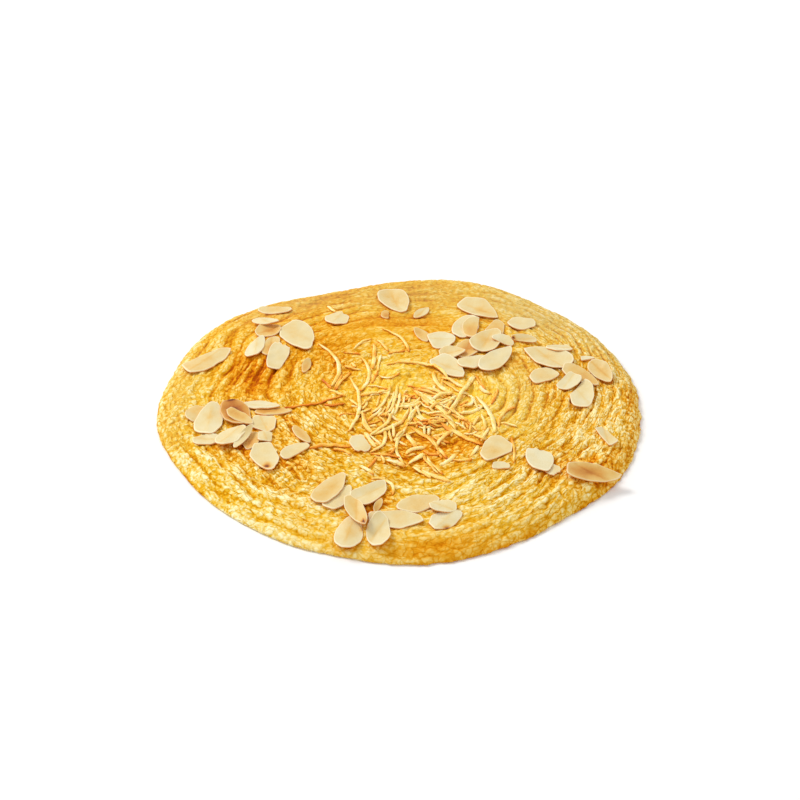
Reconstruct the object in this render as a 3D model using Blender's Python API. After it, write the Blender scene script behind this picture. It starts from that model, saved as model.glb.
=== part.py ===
"""Almond cheese cookie: a thin round of coiled flaky pastry, about 21 cm across, baked with flaked almonds
round its rim and shredded cheese over its middle.

Everything is one solid, because the toppings are baked on. Sizes and places below are in millimetres, with the
origin in the middle of the flat underside, +X to the right and +Y to the back; the scene is in metres.
"""

import math

import bmesh
import bpy
import numpy as np
from mathutils import Matrix, Vector, noise

MM = 0.001

# Crust
MEAN_RADIUS = 103.9
MIDDLE_HEIGHT = 8.2
RIM_FALL = 1.6
EDGE_ROUND = 5.0
EDGE_HEIGHT = 1.7
FOOT_INSET = 1.3
FOOT_HEIGHT = 0.0
COIL_TURNS = 12
COIL_RISE = 0.65
COIL_MIDDLE = (13.0, 7.0)
WAVE_RISE = 0.9
WAVE_LENGTH = 38.0

# Swells and flats of the outline: direction in degrees, height, half-width in degrees
OUTLINE_SWELLS = (
    (12, 1.8, 16),
    (68, 3.4, 14),
    (110, -5.0, 17),
    (150, 3.0, 13),
    (182, 1.9, 15),
    (225, -1.4, 18),
    (256, -0.6, 10),
    (276, 1.2, 14),
    (306, -1.6, 14),
    (335, 1.2, 12),
)

# Broad bumps and dips of the crust: place, half-length, half-width, turn in degrees, height
CRUST_SWELLS = (
    (-2, 16, 11, 7, 60, 1.5),
    (-66, 20, 20, 9, 100, -1.0),
    (20, -38, 14, 9, 10, -1.1),
    (4, -34, 12, 6, 95, -0.9),
    (-12, -79, 8, 6, 60, -0.7),
    (16, 66, 16, 7, 0, -0.8),
    (88, -60, 14, 9, -35, 0.8),
)

# Almond flakes, lowest first: place of the middle, length, width, turn of the length from +X in degrees,
# outline, curl of the two ends, lean about the length in degrees, and how toasted it is from 0 to 1
FLAKES = (
    # Left of the back
    (-87.3, 30, 27, 12, 36, "whole", 0.6, 0, 0.35),
    (-58.5, 72, 16, 8, -3, "oval", 0.4, 0, 0.4),
    (-42, 24, 13, 4, 78, "sliver", 0.2, 0, 0.2),
    (-60.5, 52, 12, 11, 30, "oval", 0.8, 0, 0.55),
    (-61.8, 57.5, 15, 4, -20, "sliver", 0.6, 35, 0.1),
    (-58.5, 39, 15, 7, 75, "oval", 0.2, 0, 0.3),
    (-65, 38.3, 17, 7.5, 72, "whole", 0.4, 0, 0.0),
    (-54.8, 32, 24, 9.5, 80, "broken", 0.5, 0, 0.05),
    (-46.6, 47.3, 26, 15, -68, "whole", 0.7, 0, 0.1),
    # Back
    (-6.4, 66.3, 7, 5, 90, "half", 0.2, 0, 0.5),
    (-2.3, 78.6, 23, 13.5, -70, "whole", 0.7, 0, 0.5),
    (-28.6, 64, 14, 12, 62, "broken", 0.5, 0, 0.1),
    (10, 69.5, 11, 5, 50, "sliver", 0.3, 0, 0.2),
    # Right of the back
    (28.5, 56, 21, 9, 72, "oval", 0.5, 0, 0.15),
    (37, 72, 24, 13, -48, "whole", 0.7, 0, 0.5),
    (10.2, 49.5, 12, 5.5, -58, "oval", 0.3, 0, 0.35),
    (18.5, 44.8, 13.5, 12.5, 0, "oval", 0.4, 0, 0.1),
    (30.5, 37, 15, 11, 60, "oval", 0.3, 0, 0.55),
    (23.8, 34.8, 12.5, 8.5, -5, "whole", 0.4, 0, 0.05),
    (21.6, 22.6, 21, 11, -52, "whole", 0.5, 0, 0.1),
    (43.6, 52.5, 17, 9, 76, "oval", 0.4, 0, 0.15),
    (39.6, 43, 21, 12.5, 60, "whole", 0.7, 0, 0.4),
    (46.8, 41.3, 8.5, 6, -20, "half", 0.2, 0, 0.1),
    (34, 54, 17, 7, 83, "half", 0.4, 0, 0.8),
    (32.4, 25.8, 14, 10, 32, "whole", 0.4, 0, 0.25),
    (43, 27.3, 23, 10, 52, "whole", 0.7, 0, 0.0),
    # Right
    (56.3, 59, 13.5, 11.5, 10, "oval", 0.3, 0, 0.1),
    (56.5, 43.4, 12, 5, -15, "half", 0.6, 25, 0.45),
    (66.3, 30, 24, 15, -30, "whole", 0.7, 0, 0.4),
    (72.3, 38.7, 12.5, 7.5, 5, "half", 0.3, 0, 0.0),
    (64, 14.3, 13, 12, 5, "half", 0.4, 0, 0.15),
    (84.5, 29.3, 8, 4.5, 5, "half", 0.2, 0, 0.2),
    (88.3, 24, 6.5, 5, 40, "broken", 0.2, 0, 0.2),
    (89.3, 18, 16, 8.5, -62, "whole", 0.6, 18, 0.6),
    (79.6, 15.6, 21, 9, -42, "whole", 0.6, 0, 0.5),
    (74.4, 10.2, 13.5, 8.5, 45, "broken", 0.4, 0, 0.0),
    (79, 1.4, 23, 10.5, 78, "half", 0.4, 0, 0.15),
    (87.5, -27.5, 15, 5, -64, "half", 0.3, 0, 0.1),
    # Right of the front
    (40.3, -39.6, 20, 12.5, 84, "broken", 0.5, 0, 0.15),
    (41.8, -52.5, 7.5, 6.2, 0, "half", 0.3, 0, 0.1),
    (63.3, -53.8, 8, 6.5, -35, "broken", 0.2, 0, 0.05),
    (58, -46.5, 17, 11, 94, "broken", 0.4, 0, 0.0),
    (79.2, -54, 25, 10, 3, "whole", 0.9, 0, 0.9),
    (-16.8, -37.3, 15, 8.5, -74, "broken", 0.3, 0, 0.15),
    # Front
    (-25, -71, 17, 9, 57, "whole", 0.4, 0, 0.05),
    (-28.4, -65.6, 22, 10, 60, "whole", 0.6, 0, 0.5),
    (-12.4, -68.6, 19, 11.5, 42, "whole", 0.5, 0, 0.2),
    (-20.4, -94, 19, 11, 78, "whole", 0.4, 0, 0.3),
    (-17.8, -81, 22, 7.5, -68, "whole", 0.6, 12, 0.15),
    (-9.2, -77, 8.5, 3, 70, "sliver", 0.5, 30, 0.2),
    (7.3, -75.6, 18, 11, 25, "oval", 0.4, 0, 0.2),
    (-1.3, -85.5, 22, 11, -5, "whole", 0.5, 0, 0.1),
    (-8.3, -91.3, 20, 9.7, 86, "whole", 0.5, 0, 0.1),
    (18, -85.5, 16, 9, 30, "whole", 0.4, 0, 0.15),
    (17.2, -77.4, 12.5, 8.5, -10, "whole", 0.3, 0, 0.05),
    # Left
    (-88, -11, 11, 9, 70, "oval", 0.2, 0, 0.5),
    (-81.8, -15.5, 25, 11.5, 84, "whole", 0.6, 0, 0.1),
    (-70.8, -12, 18.5, 13, -60, "oval", 0.9, 0, 0.95),
    (-68.6, -16.5, 14.5, 7, -38, "whole", 0.4, 0, 0.6),
    (-54.5, -11.3, 16.5, 5.5, -5, "whole", 0.5, 0, 0.35),
    (-60, -6.7, 17, 6.8, -14, "sliver", 0.6, 0, 0.0),
    (-63.4, -34.5, 14, 7, 72, "oval", 0.2, 0, 0.9),
    (-66.4, -32.3, 17, 4, 64, "sliver", 0.8, 40, 0.05),
    (-82, -31.5, 14, 6.5, 0, "oval", 0.2, 0, 0.3),
    (-71.6, -29.4, 15.5, 11, 48, "oval", 0.5, 0, 0.05),
    (-42, -29, 16, 5, -60, "sliver", 0.2, 0, 0.1),
    (-43.8, -40.7, 14, 9.5, 42, "half", 0.4, 0, 0.25),
    (-57.2, -30.3, 8, 6.5, 90, "half", 0.2, 0, 0.05),
    (-58.2, -20, 12, 10.5, 85, "half", 0.3, 0, 0.1),
    (-56.2, -42.3, 21, 12, -73, "whole", 0.7, 0, 0.2),
)
FLAKE_THICKNESS = 1.0
FLAKE_SINK = 0.35
FLAKE_SIDES = 10

# What lies beyond this share of the way to the edge overhangs the rounding, and doesn't hold a flake
HELD_SHARE = 0.965

# Cheese shreds, lowest first: start, end, sideways bow to the left of that way, width, and how toasted
# it is from 0 to 1
SHREDS = (
    (-37, 41, -30, 9, 6, 2.2, 0.1),
    (-17.5, 31, -17.8, 4, 4, 1.9, 0.15),
    (-12, 42, -12.7, 26, 0.5, 1.9, 0.35),
    (-8.5, 33, -9.8, 20, -0.5, 1.4, 0.2),
    (-10.5, 45, -5.3, 36, 0.6, 1.6, 0.3),
    (-8, 54, 4, 36, 2.8, 1.6, 0.25),
    (-6, 25, 22, 12, 8, 1.7, 0.2),
    (-25, 1, -50, -7.5, 2, 1.4, 0.9),
    (-33, -5.5, -24, -4.5, -1.8, 1.4, 0.9),
    (-4.5, 8, -12, -13, 2, 1.6, 0.15),
    (-1.2, 8, -6.3, -16, 1.2, 1.6, 0.15),
    (6, 6, 12.5, -8, 0.4, 1.8, 0.2),
    (15, 20, 24, 1, -3, 2.2, 0.1),
    (9, 7, 20, -0.5, 1, 1.8, 0.25),
    (25, 0, 20, -11, -0.5, 1.7, 0.1),
    (27.5, 0, 22.5, -13, -0.8, 1.7, 0.1),
    (36, -7, 25, -14, 2, 1.9, 0.05),
    (35, -14, 35.5, -26, 0.8, 1.6, 0.2),
    (22, -15, 28.7, -25, 2, 1.5, 0.3),
    (-16, -12, -12, -27.5, -1.2, 2.4, 0.3),
    (-7, -25, -12.5, -42, 3, 1.9, 0.15),
    (3, -23, 2, -49.5, -4, 1.6, 0.1),
    (3, -27, 7.5, -36.5, -0.5, 2.4, 0.25),
    (7.5, -22, 18, -23.5, 0.4, 1.8, 0.6),
    (9, -19.5, 20, -19.5, -0.8, 1.5, 0.45),
    (22, -27, 15, -37, -0.8, 1.9, 0.3),
    (10, -41, 16, -56, -1.2, 1.6, 0.5),
    (9, -53, 20.5, -62, -0.5, 2, 0.2),
    (-38, -39, -21, -38.5, 1.6, 1.8, 0.55),
    (-22, 15, -22, -27, 4.5, 1.8, 0.1),
    (8, 1, 24, -24, 1.2, 2.2, 0.2),
    (33, 0, 40.3, -28, 2, 2.4, 0),
    (4, -9, -12, -29, 3.6, 1.8, 0.2),
    (-2.5, -9, -13, -30, 2, 1.6, 0.15),
    (18, -22, 34.5, -36, -0.6, 2.4, 0.45),
    (4.5, -23, 19.5, -45.5, 1.8, 1.9, 0.4),
    (2.5, -42, 10.8, -36, 1.2, 2.1, 0),
    (3.5, -49, 10, -42.5, 0.6, 2.8, 0.05),
    (23, -42, 16.5, -50.5, 0.8, 2.2, 0),
    (33, 17, 26.5, -1, -0.6, 1.9, 0.15),
    (-12, -59, -3.2, -69.5, 4, 1.6, 0.2),
    (50, -8, 42, -24, -2.5, 1.5, 0.5),
)
SHRED_HEIGHT = 1.2
SHRED_SINK = 0.45
SHRED_STEP = 8.0

# The finished solid has about this many triangles
MOST_TRIANGLES = 11200

# Heights of what already lies on the crust are kept on a raster of this step
BED_STEP = 1.0
BED_HALF = 110


def smooth_noise(x, y, length, layer):
    """Noise from about -1 to 1 over the crust, with bumps of the given length. Layers differ in pattern."""
    scale = 1 / length
    flat_x = np.ravel(x) * scale
    flat_y = np.ravel(y) * scale
    values = [noise.noise((a, b, 17.3 * layer)) for a, b in zip(flat_x, flat_y)]
    return np.reshape(values, np.shape(x)) * 1.6


def outline_radius(angle):
    """Distance from the middle to the edge of the crust at an angle in radians."""
    radius = np.full(np.shape(angle), MEAN_RADIUS)
    for direction, height, spread in OUTLINE_SWELLS:
        away = np.angle(np.exp(1j * (angle - math.radians(direction))))
        radius = radius + height * np.exp(-((np.degrees(away) / spread) ** 2))
    return radius


def coil_point(share, angle):
    """Place on the crust of a share of the way from the coil's middle to the edge."""
    reach = share * outline_radius(angle)
    drift = 1 - share**2
    return COIL_MIDDLE[0] * drift + reach * np.cos(angle), COIL_MIDDLE[1] * drift + reach * np.sin(angle)


def coil_share(x, y):
    """The share of coil_point at a place, found by closing in on it."""
    share = np.hypot(x, y) / MEAN_RADIUS
    for _ in range(12):
        drift = 1 - np.minimum(share, 1) ** 2
        away_x = x - COIL_MIDDLE[0] * drift
        away_y = y - COIL_MIDDLE[1] * drift
        share = np.hypot(away_x, away_y) / outline_radius(np.arctan2(away_y, away_x))
    return share


def swell(x, y, middle_x, middle_y, half_long, half_wide, turn):
    """A smooth hill of height 1 over a turned oval."""
    along = (x - middle_x) * math.cos(math.radians(turn)) + (y - middle_y) * math.sin(math.radians(turn))
    across = (y - middle_y) * math.cos(math.radians(turn)) - (x - middle_x) * math.sin(math.radians(turn))
    return np.exp(-((along / half_long) ** 2) - (across / half_wide) ** 2)


def crust_height(x, y):
    """Height of the bare crust over the table."""
    share = coil_share(x, y)
    inside = np.clip(1 - share, 0, 1) * MEAN_RADIUS
    plate = MIDDLE_HEIGHT - RIM_FALL * share**4
    coil = COIL_RISE * np.cos(2 * math.pi * COIL_TURNS * share)
    plate = plate + coil * (0.75 + 0.5 * smooth_noise(x, y, WAVE_LENGTH, 1))
    plate = plate + WAVE_RISE * smooth_noise(x, y, WAVE_LENGTH, 2)
    for middle_x, middle_y, half_long, half_wide, turn, height in CRUST_SWELLS:
        plate = plate + height * swell(x, y, middle_x, middle_y, half_long, half_wide, turn)
    rounding = np.sqrt(1 - (1 - np.minimum(inside / EDGE_ROUND, 1)) ** 2)
    return EDGE_HEIGHT + (plate - EDGE_HEIGHT) * rounding


def mesh_object(name, points, faces):
    """An object from points in millimetres and faces."""
    mesh = bpy.data.meshes.new(name)
    mesh.from_pydata([Vector(point) * MM for point in points], [], faces)
    made = bpy.data.objects.new(name, mesh)
    bpy.context.scene.collection.objects.link(made)
    return made


def ring_angles(number):
    """Angles of a ring's points: six more for each ring out, so that all triangles are of one size."""
    return np.arange(6 * number) * 2 * math.pi / (6 * number)


def make_crust():
    """The pastry: rings of points on the crests and in the valleys of its coil, a rounded edge, a flat base."""
    rings = 2 * COIL_TURNS
    points = [(*COIL_MIDDLE, float(crust_height(*COIL_MIDDLE)))]
    ring_starts = [0]
    for number in range(1, rings + 1):
        share = number / rings
        # The last two rings shape the rounded edge.
        share = 1 - 1.1 / MEAN_RADIUS if number == rings else share
        ring_starts.append(len(points))
        x, y = coil_point(share, ring_angles(number))
        points += list(zip(x, y, crust_height(x, y)))
    bottom_starts = []
    for inset, height in ((0, EDGE_HEIGHT), (FOOT_INSET, FOOT_HEIGHT)):
        bottom_starts.append(len(points))
        x, y = coil_point(1 - inset / MEAN_RADIUS, ring_angles(rings))
        points += [(a, b, height) for a, b in zip(x, y)]
    faces = []
    for number in range(1, rings + 1):
        faces += ring_faces(ring_starts[number - 1], ring_starts[number], number)
    around = 6 * rings
    for upper, lower in ((ring_starts[rings], bottom_starts[0]), bottom_starts):
        for spot in range(around):
            after = (spot + 1) % around
            faces.append((upper + spot, lower + spot, lower + after, upper + after))
    faces.append([bottom_starts[1] + spot for spot in range(around)][::-1])
    return mesh_object("cookie", points, faces)


def ring_faces(inner, outer, number):
    """Triangles between a ring of 6 * (number - 1) points and the next one of 6 * number."""
    if number == 1:
        return [(0, outer + spot, outer + (spot + 1) % 6) for spot in range(6)]
    inner_count = 6 * (number - 1)
    outer_count = 6 * number
    faces = []
    for side in range(6):
        for step in range(number):
            near = inner + (side * (number - 1) + step) % inner_count
            far = outer + side * number + step
            beyond = outer + (side * number + step + 1) % outer_count
            faces.append((near, far, beyond))
            if step < number - 1:
                following = inner + (side * (number - 1) + step + 1) % inner_count
                faces.append((near, beyond, following))
    return faces


class Bed:
    """Heights of what already lies on the cookie, so that the next piece rests on it."""

    def __init__(self):
        line = np.arange(-BED_HALF, BED_HALF + BED_STEP, BED_STEP)
        self.x, self.y = np.meshgrid(line, line, indexing="ij")
        self.top = crust_height(self.x, self.y)
        self.top[coil_share(self.x, self.y) > 1] = 0

    def cell(self, x, y):
        """Raster indices of places."""
        last = len(self.top) - 1
        column = np.clip(np.rint((np.asarray(x) + BED_HALF) / BED_STEP).astype(int), 0, last)
        row = np.clip(np.rint((np.asarray(y) + BED_HALF) / BED_STEP).astype(int), 0, last)
        return column, row

    def height(self, x, y):
        return self.top[self.cell(x, y)]

    def raise_to(self, x, y, height):
        cell = self.cell(x, y)
        np.maximum.at(self.top, cell, height)


def flake_outline(kind, angle):
    """Outline of a flake one long and one wide, as (along, across) at an angle round it."""
    along = 0.5 * np.cos(angle)
    across = 0.5 * np.sin(angle)
    if kind == "whole":
        across = across * (1 - 0.32 * np.cos(angle) - 0.1 * np.cos(angle) ** 4)
    if kind == "half":
        across = np.maximum(across, -0.22)
    if kind == "broken":
        along = np.minimum(along, 0.3 + 0.08 * np.sin(3 * angle))
    if kind == "sliver":
        across = across * np.abs(np.sin(angle)) ** 0.5
    return along, across


def flake_surface(flake, along, across):
    """Rise of the flake's middle layer over its plane: both ends curl up."""
    _, _, length, width, _, _, curl, _, _ = flake
    return curl * ((2 * along) ** 2 + 0.3 * (2 * across) ** 2) - 0.2 * curl


def flake_pose(flake, bed):
    """Rest the flake on what is under it: a plane through the heights there, lifted onto their high spots."""
    x, y, length, width, turn, kind, curl, lean, _ = flake
    angle = np.linspace(0, 2 * math.pi, 16, endpoint=False)
    along, across = flake_outline(kind, angle)
    shares = np.array([[0.1], [0.45], [0.75], [0.95]])
    along = (shares * along).ravel() * length
    across = (shares * across).ravel() * width
    turned = math.radians(turn)
    place_x = x + along * math.cos(turned) - across * math.sin(turned)
    place_y = y + along * math.sin(turned) + across * math.cos(turned)
    heights = bed.height(place_x, place_y)
    terms = np.stack([np.ones_like(along), along, across], axis=1)
    held = coil_share(place_x, place_y) < HELD_SHARE
    level, slope_along, slope_across = np.linalg.lstsq(terms[held], heights[held], rcond=None)[0]
    high_spots = np.percentile((heights - terms @ (level, slope_along, slope_across))[held], 80)
    base = level + high_spots - FLAKE_SINK + math.sin(math.radians(abs(lean))) * width / 2
    pose = (
        Matrix.Translation((x, y, base))
        @ Matrix.Rotation(turned, 4, "Z")
        @ Matrix.Rotation(-math.atan(slope_along), 4, "Y")
        @ Matrix.Rotation(math.atan(slope_across) + math.radians(lean), 4, "X")
    )
    tops = base + along * slope_along + across * slope_across + FLAKE_THICKNESS
    bed.raise_to(place_x, place_y, tops + flake_surface(flake, along / length, across / width))
    return pose


def make_flake(number, flake, bed):
    """A slice of almond: its outline twice, with a middle point on each face."""
    _, _, length, width, _, kind, _, _, _ = flake
    angle = np.arange(FLAKE_SIDES) * 2 * math.pi / FLAKE_SIDES + 0.01
    along, across = flake_outline(kind, angle)
    along = np.append(along, 0.0)
    across = np.append(across, 0.05)
    rise = flake_surface(flake, along, across)
    low = [(a * length, b * width, c) for a, b, c in zip(along, across, rise)]
    high = [(a * length, b * width, c + FLAKE_THICKNESS) for a, b, c in zip(along, across, rise)]
    faces = []
    sides = FLAKE_SIDES
    for spot in range(sides):
        after = (spot + 1) % sides
        faces.append((sides, after, spot))
        faces.append((2 * sides + 1, sides + 1 + spot, sides + 1 + after))
        faces.append((spot, after, sides + 1 + after, sides + 1 + spot))
    pose = flake_pose(flake, bed)
    points = [pose @ Vector(point) for point in low + high]
    return mesh_object(f"flake_{number}", points, faces)


def shred_route(shred, count):
    """Points along a shred, which bows sideways between its two ends."""
    start_x, start_y, end_x, end_y, bow, _, _ = shred
    share = np.linspace(0, 1, count)
    length = math.hypot(end_x - start_x, end_y - start_y)
    side_x = -(end_y - start_y) / length
    side_y = (end_x - start_x) / length
    arch = 4 * bow * share * (1 - share)
    x = start_x + (end_x - start_x) * share + arch * side_x
    y = start_y + (end_y - start_y) * share + arch * side_y
    return x, y


def make_shred(number, shred, bed):
    """A shred of cheese: a strip with a four-sided section that lies along its route."""
    start_x, start_y, end_x, end_y, _, width, _ = shred
    length = math.hypot(end_x - start_x, end_y - start_y)
    count = max(3, round(length / SHRED_STEP) + 1)
    x, y = shred_route(shred, count)
    base = bed.height(x, y) - SHRED_SINK
    fine_x, fine_y = shred_route(shred, 4 * count)
    bed.raise_to(fine_x, fine_y, np.interp(np.linspace(0, 1, 4 * count), np.linspace(0, 1, count), base)
                 + SHRED_HEIGHT)
    way_x = np.gradient(x)
    way_y = np.gradient(y)
    reach = np.hypot(way_x, way_y)
    points = []
    for spot in range(count):
        half = width / 2 * (0.7 if spot in (0, count - 1) else 1)
        side_x = -way_y[spot] / reach[spot] * half
        side_y = way_x[spot] / reach[spot] * half
        for share, height in ((1, 0), (-1, 0), (-0.7, SHRED_HEIGHT), (0.7, SHRED_HEIGHT)):
            points.append((x[spot] + side_x * share, y[spot] + side_y * share, base[spot] + height))
    faces = [(0, 3, 2, 1)]
    for spot in range(count - 1):
        for corner in range(4):
            here = 4 * spot + corner
            beside = 4 * spot + (corner + 1) % 4
            faces.append((here, beside, beside + 4, here + 4))
    last = 4 * (count - 1)
    faces.append((last, last + 1, last + 2, last + 3))
    return mesh_object(f"shred_{number}", points, faces)


def outward(made):
    """Turn all faces of a closed mesh outward and split them into triangles."""
    edit = bmesh.new()
    edit.from_mesh(made.data)
    bmesh.ops.recalc_face_normals(edit, faces=edit.faces)
    bmesh.ops.triangulate(edit, faces=edit.faces)
    edit.to_mesh(made.data)
    edit.free()


def fuse(crust, toppings):
    """Join the toppings to the crust in one Boolean union."""
    group = bpy.data.collections.new("toppings")
    bpy.context.scene.collection.children.link(group)
    for topping in toppings:
        bpy.context.scene.collection.objects.unlink(topping)
        group.objects.link(topping)
    union = crust.modifiers.new("toppings", "BOOLEAN")
    union.operation = "UNION"
    union.operand_type = "COLLECTION"
    union.collection = group
    union.solver = "EXACT"
    bpy.context.view_layer.objects.active = crust
    bpy.ops.object.modifier_apply(modifier=union.name)
    for topping in toppings:
        bpy.data.objects.remove(topping)
    bpy.data.collections.remove(group)


def keep_outer_skin(made):
    """Drop loose scraps, and the skins of hollows that the union sealed, so that those are filled."""
    edit = bmesh.new()
    edit.from_mesh(made.data)
    bmesh.ops.remove_doubles(edit, verts=edit.verts, dist=2e-6)
    bmesh.ops.dissolve_degenerate(edit, edges=edit.edges, dist=1e-6)
    bmesh.ops.triangulate(edit, faces=edit.faces)
    waiting = set(edit.faces)
    skins = []
    while waiting:
        skin = {waiting.pop()}
        edge_of_skin = list(skin)
        while edge_of_skin:
            face = edge_of_skin.pop()
            beside = {other for edge in face.edges for other in edge.link_faces} & waiting
            waiting -= beside
            skin |= beside
            edge_of_skin += beside
        skins.append(skin)
    skins.sort(key=len)
    for skin in skins[:-1]:
        bmesh.ops.delete(edit, geom=list(skin), context="FACES")
    edit.to_mesh(made.data)
    edit.free()


def thin_out(made):
    """Merge the small triangles that the union left along its seams."""
    thinner = made.modifiers.new("thinner", "DECIMATE")
    thinner.ratio = min(1, MOST_TRIANGLES / len(made.data.polygons))
    bpy.context.view_layer.objects.active = made
    bpy.ops.object.modifier_apply(modifier=thinner.name)


def crust_material():
    """Golden baked pastry."""
    material = bpy.data.materials.new("crust")
    material.use_nodes = True
    surface = material.node_tree.nodes["Principled BSDF"]
    surface.inputs["Base Color"].default_value = (0.80, 0.50, 0.16, 1)
    surface.inputs["Roughness"].default_value = 0.6
    surface.inputs["Metallic"].default_value = 0
    return material


def main():
    for old in list(bpy.data.objects):
        bpy.data.objects.remove(old)
    crust = make_crust()
    outward(crust)
    bed = Bed()
    toppings = [make_flake(number, flake, bed) for number, flake in enumerate(FLAKES)]
    toppings += [make_shred(number, shred, bed) for number, shred in enumerate(SHREDS)]
    for topping in toppings:
        outward(topping)
    fuse(crust, toppings)
    keep_outer_skin(crust)
    thin_out(crust)
    crust.data.materials.clear()
    crust.data.materials.append(crust_material())
    crust.data.shade_smooth()


main()
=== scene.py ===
# %% [markdown]
# This lesson dresses the plain solid of a large, thin cookie. The real one is a roll of layered dough, cut across,
# pressed flat into a round and baked with flaked almonds and shreds of cheese on it. We read the solid as a fixed
# frame, put a camera and light round it, and then make three finished pieces: the pastry, the almonds and the
# cheese. Lengths are in millimetres until a mesh is written, because a cook thinks in millimetres and Blender
# stores metres.

# %% Load the frame
import math
import random

import bpy
import numpy as np
from mathutils import Matrix, Vector, noise


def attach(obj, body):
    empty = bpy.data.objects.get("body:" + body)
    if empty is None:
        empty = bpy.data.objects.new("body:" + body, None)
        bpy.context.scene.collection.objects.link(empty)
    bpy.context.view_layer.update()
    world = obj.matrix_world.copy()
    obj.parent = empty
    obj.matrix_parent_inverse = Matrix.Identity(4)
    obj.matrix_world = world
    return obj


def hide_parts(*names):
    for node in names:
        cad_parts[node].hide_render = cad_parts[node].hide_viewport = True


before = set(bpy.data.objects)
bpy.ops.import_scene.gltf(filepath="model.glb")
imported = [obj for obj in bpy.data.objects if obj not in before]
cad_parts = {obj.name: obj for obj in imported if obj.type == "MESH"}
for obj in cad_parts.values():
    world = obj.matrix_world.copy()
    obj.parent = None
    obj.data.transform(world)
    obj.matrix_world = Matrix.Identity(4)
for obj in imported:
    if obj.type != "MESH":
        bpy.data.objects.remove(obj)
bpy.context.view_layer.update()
MM = 0.001
print("frame nodes:", sorted(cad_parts))

# %% [markdown]
# The photograph looks down on the cookie from about 35 degrees, through a long lens from a little under a metre
# away. A long lens keeps the round an even oval. We aim the camera by turning it down from the horizon, and no
# tracking constraint is needed.

# %% Camera
VIEW_DOWN = 35.0
VIEW_DISTANCE = 836.0
VIEW_TARGET = (0.0, 9.0, 0.0)
LENS = 85
SENSOR_WIDTH = 36
NEAREST_SEEN = 0.01

down = math.radians(VIEW_DOWN)
bpy.ops.object.camera_add(rotation=(math.pi / 2 - down, 0, 0))
camera = bpy.context.object
camera.location = Vector(VIEW_TARGET) * MM + VIEW_DISTANCE * MM * Vector((0, -math.cos(down), math.sin(down)))
camera.data.lens = LENS
camera.data.sensor_width = SENSOR_WIDTH
camera.data.clip_start = NEAREST_SEEN
bpy.context.scene.camera = camera
print("camera at", [round(value, 3) for value in camera.location])

# %% [markdown]
# The ground is plain and almost white. Most of the light is even, from a white surrounding, and one large soft
# lamp stands behind the cookie on the left, so that every ridge and every almond throws a short soft shadow to
# the front and right. The plain view transform keeps yellows as clean as the photograph has them.

# %% Floor
FLOOR_SIZE = 6
FLOOR_COLOR = (0.93, 0.93, 0.93, 1)
FLOOR_ROUGHNESS = 0.9

bpy.ops.mesh.primitive_plane_add(size=FLOOR_SIZE)
floor = bpy.context.object
floor.name = "floor"
floor_finish = bpy.data.materials.new("floor")
floor_finish.use_nodes = True
floor_sockets = floor_finish.node_tree.nodes["Principled BSDF"].inputs
floor_sockets["Base Color"].default_value = FLOOR_COLOR
floor_sockets["Roughness"].default_value = FLOOR_ROUGHNESS
floor.data.materials.append(floor_finish)
print("floor:", FLOOR_SIZE, "m wide")

# %% Light
SKY_COLOR = (1.0, 0.99, 0.975, 1)
SKY_STRENGTH = 0.8
LAMP_PLACE = Vector((-1.1, 0.66, 1.32))
LAMP_SIZE = 0.6
LAMP_POWER = 19.0

bpy.context.scene.view_settings.view_transform = "Standard"
bpy.context.scene.view_settings.look = "None"
world = bpy.data.worlds.new("studio")
world.use_nodes = True
world.node_tree.nodes["Background"].inputs["Color"].default_value = SKY_COLOR
world.node_tree.nodes["Background"].inputs["Strength"].default_value = SKY_STRENGTH
bpy.context.scene.world = world

bpy.ops.object.light_add(type="AREA", location=LAMP_PLACE)
lamp = bpy.context.object
lamp.name = "key_lamp"
lamp.rotation_euler = LAMP_PLACE.to_track_quat("Z", "Y").to_euler()
lamp.data.size = LAMP_SIZE
lamp.data.energy = LAMP_POWER
print("lamp:", LAMP_POWER, "W,", round(LAMP_PLACE.length, 2), "m away")

# %% [markdown]
# The same few named sizes shape the solid and the finished piece, so that one fits over the other. The outline is
# a circle with soft swells and flats. The coil's middle lies a little to the right of the outline's, as in the
# photograph, and the turns of the coil drift from one to the other.

# %% Sizes shared with the solid
MEAN_RADIUS = 103.9
MIDDLE_HEIGHT = 8.2
RIM_FALL = 2.4
EDGE_ROUND = 5.0
EDGE_HEIGHT = 0.9
COIL_MIDDLE = (13.0, 7.0)
WAVE_RISE = 0.9
WAVE_LENGTH = 38.0

# Swells and flats of the outline: direction in degrees, height, half-width in degrees
OUTLINE_SWELLS = (
    (90, 3.0, 62),
    (12, 1.8, 16),
    (38, 1.8, 15),
    (68, 3.4, 14),
    (110, -5.0, 17),
    (134, 1.8, 12),
    (150, 3.0, 13),
    (182, 1.9, 15),
    (208, -1.6, 12),
    (230, -2.4, 18),
    (256, -1.2, 10),
    (276, 1.2, 14),
    (310, -2.6, 17),
    (335, 0.8, 12),
)

# Broad bumps and dips of the crust: place, half-length, half-width, turn in degrees, height
CRUST_SWELLS = (
    (-2, 16, 11, 7, 60, 1.5),
    (-66, 20, 20, 9, 100, -1.0),
    (20, -38, 14, 9, 10, -1.1),
    (4, -34, 12, 6, 95, -0.9),
    (-12, -79, 8, 6, 60, -0.7),
    (16, 66, 16, 7, 0, -0.8),
    (88, -60, 14, 9, -35, 0.8),
)

# %% [markdown]
# The crust is worked out in numbers before any mesh is made: first its outline, then the coil, which says for any
# place how far out along the turns it lies. That share is found by trying and correcting it a few times, because
# the turns drift and no formula gives it at once.

# %% Outline and coil
SHARE_ROUNDS = 12


def turned_away(angle, middle):
    """How far an angle lies from a middle direction, both in radians, the short way round."""
    return np.angle(np.exp(1j * (angle - middle)))


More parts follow.
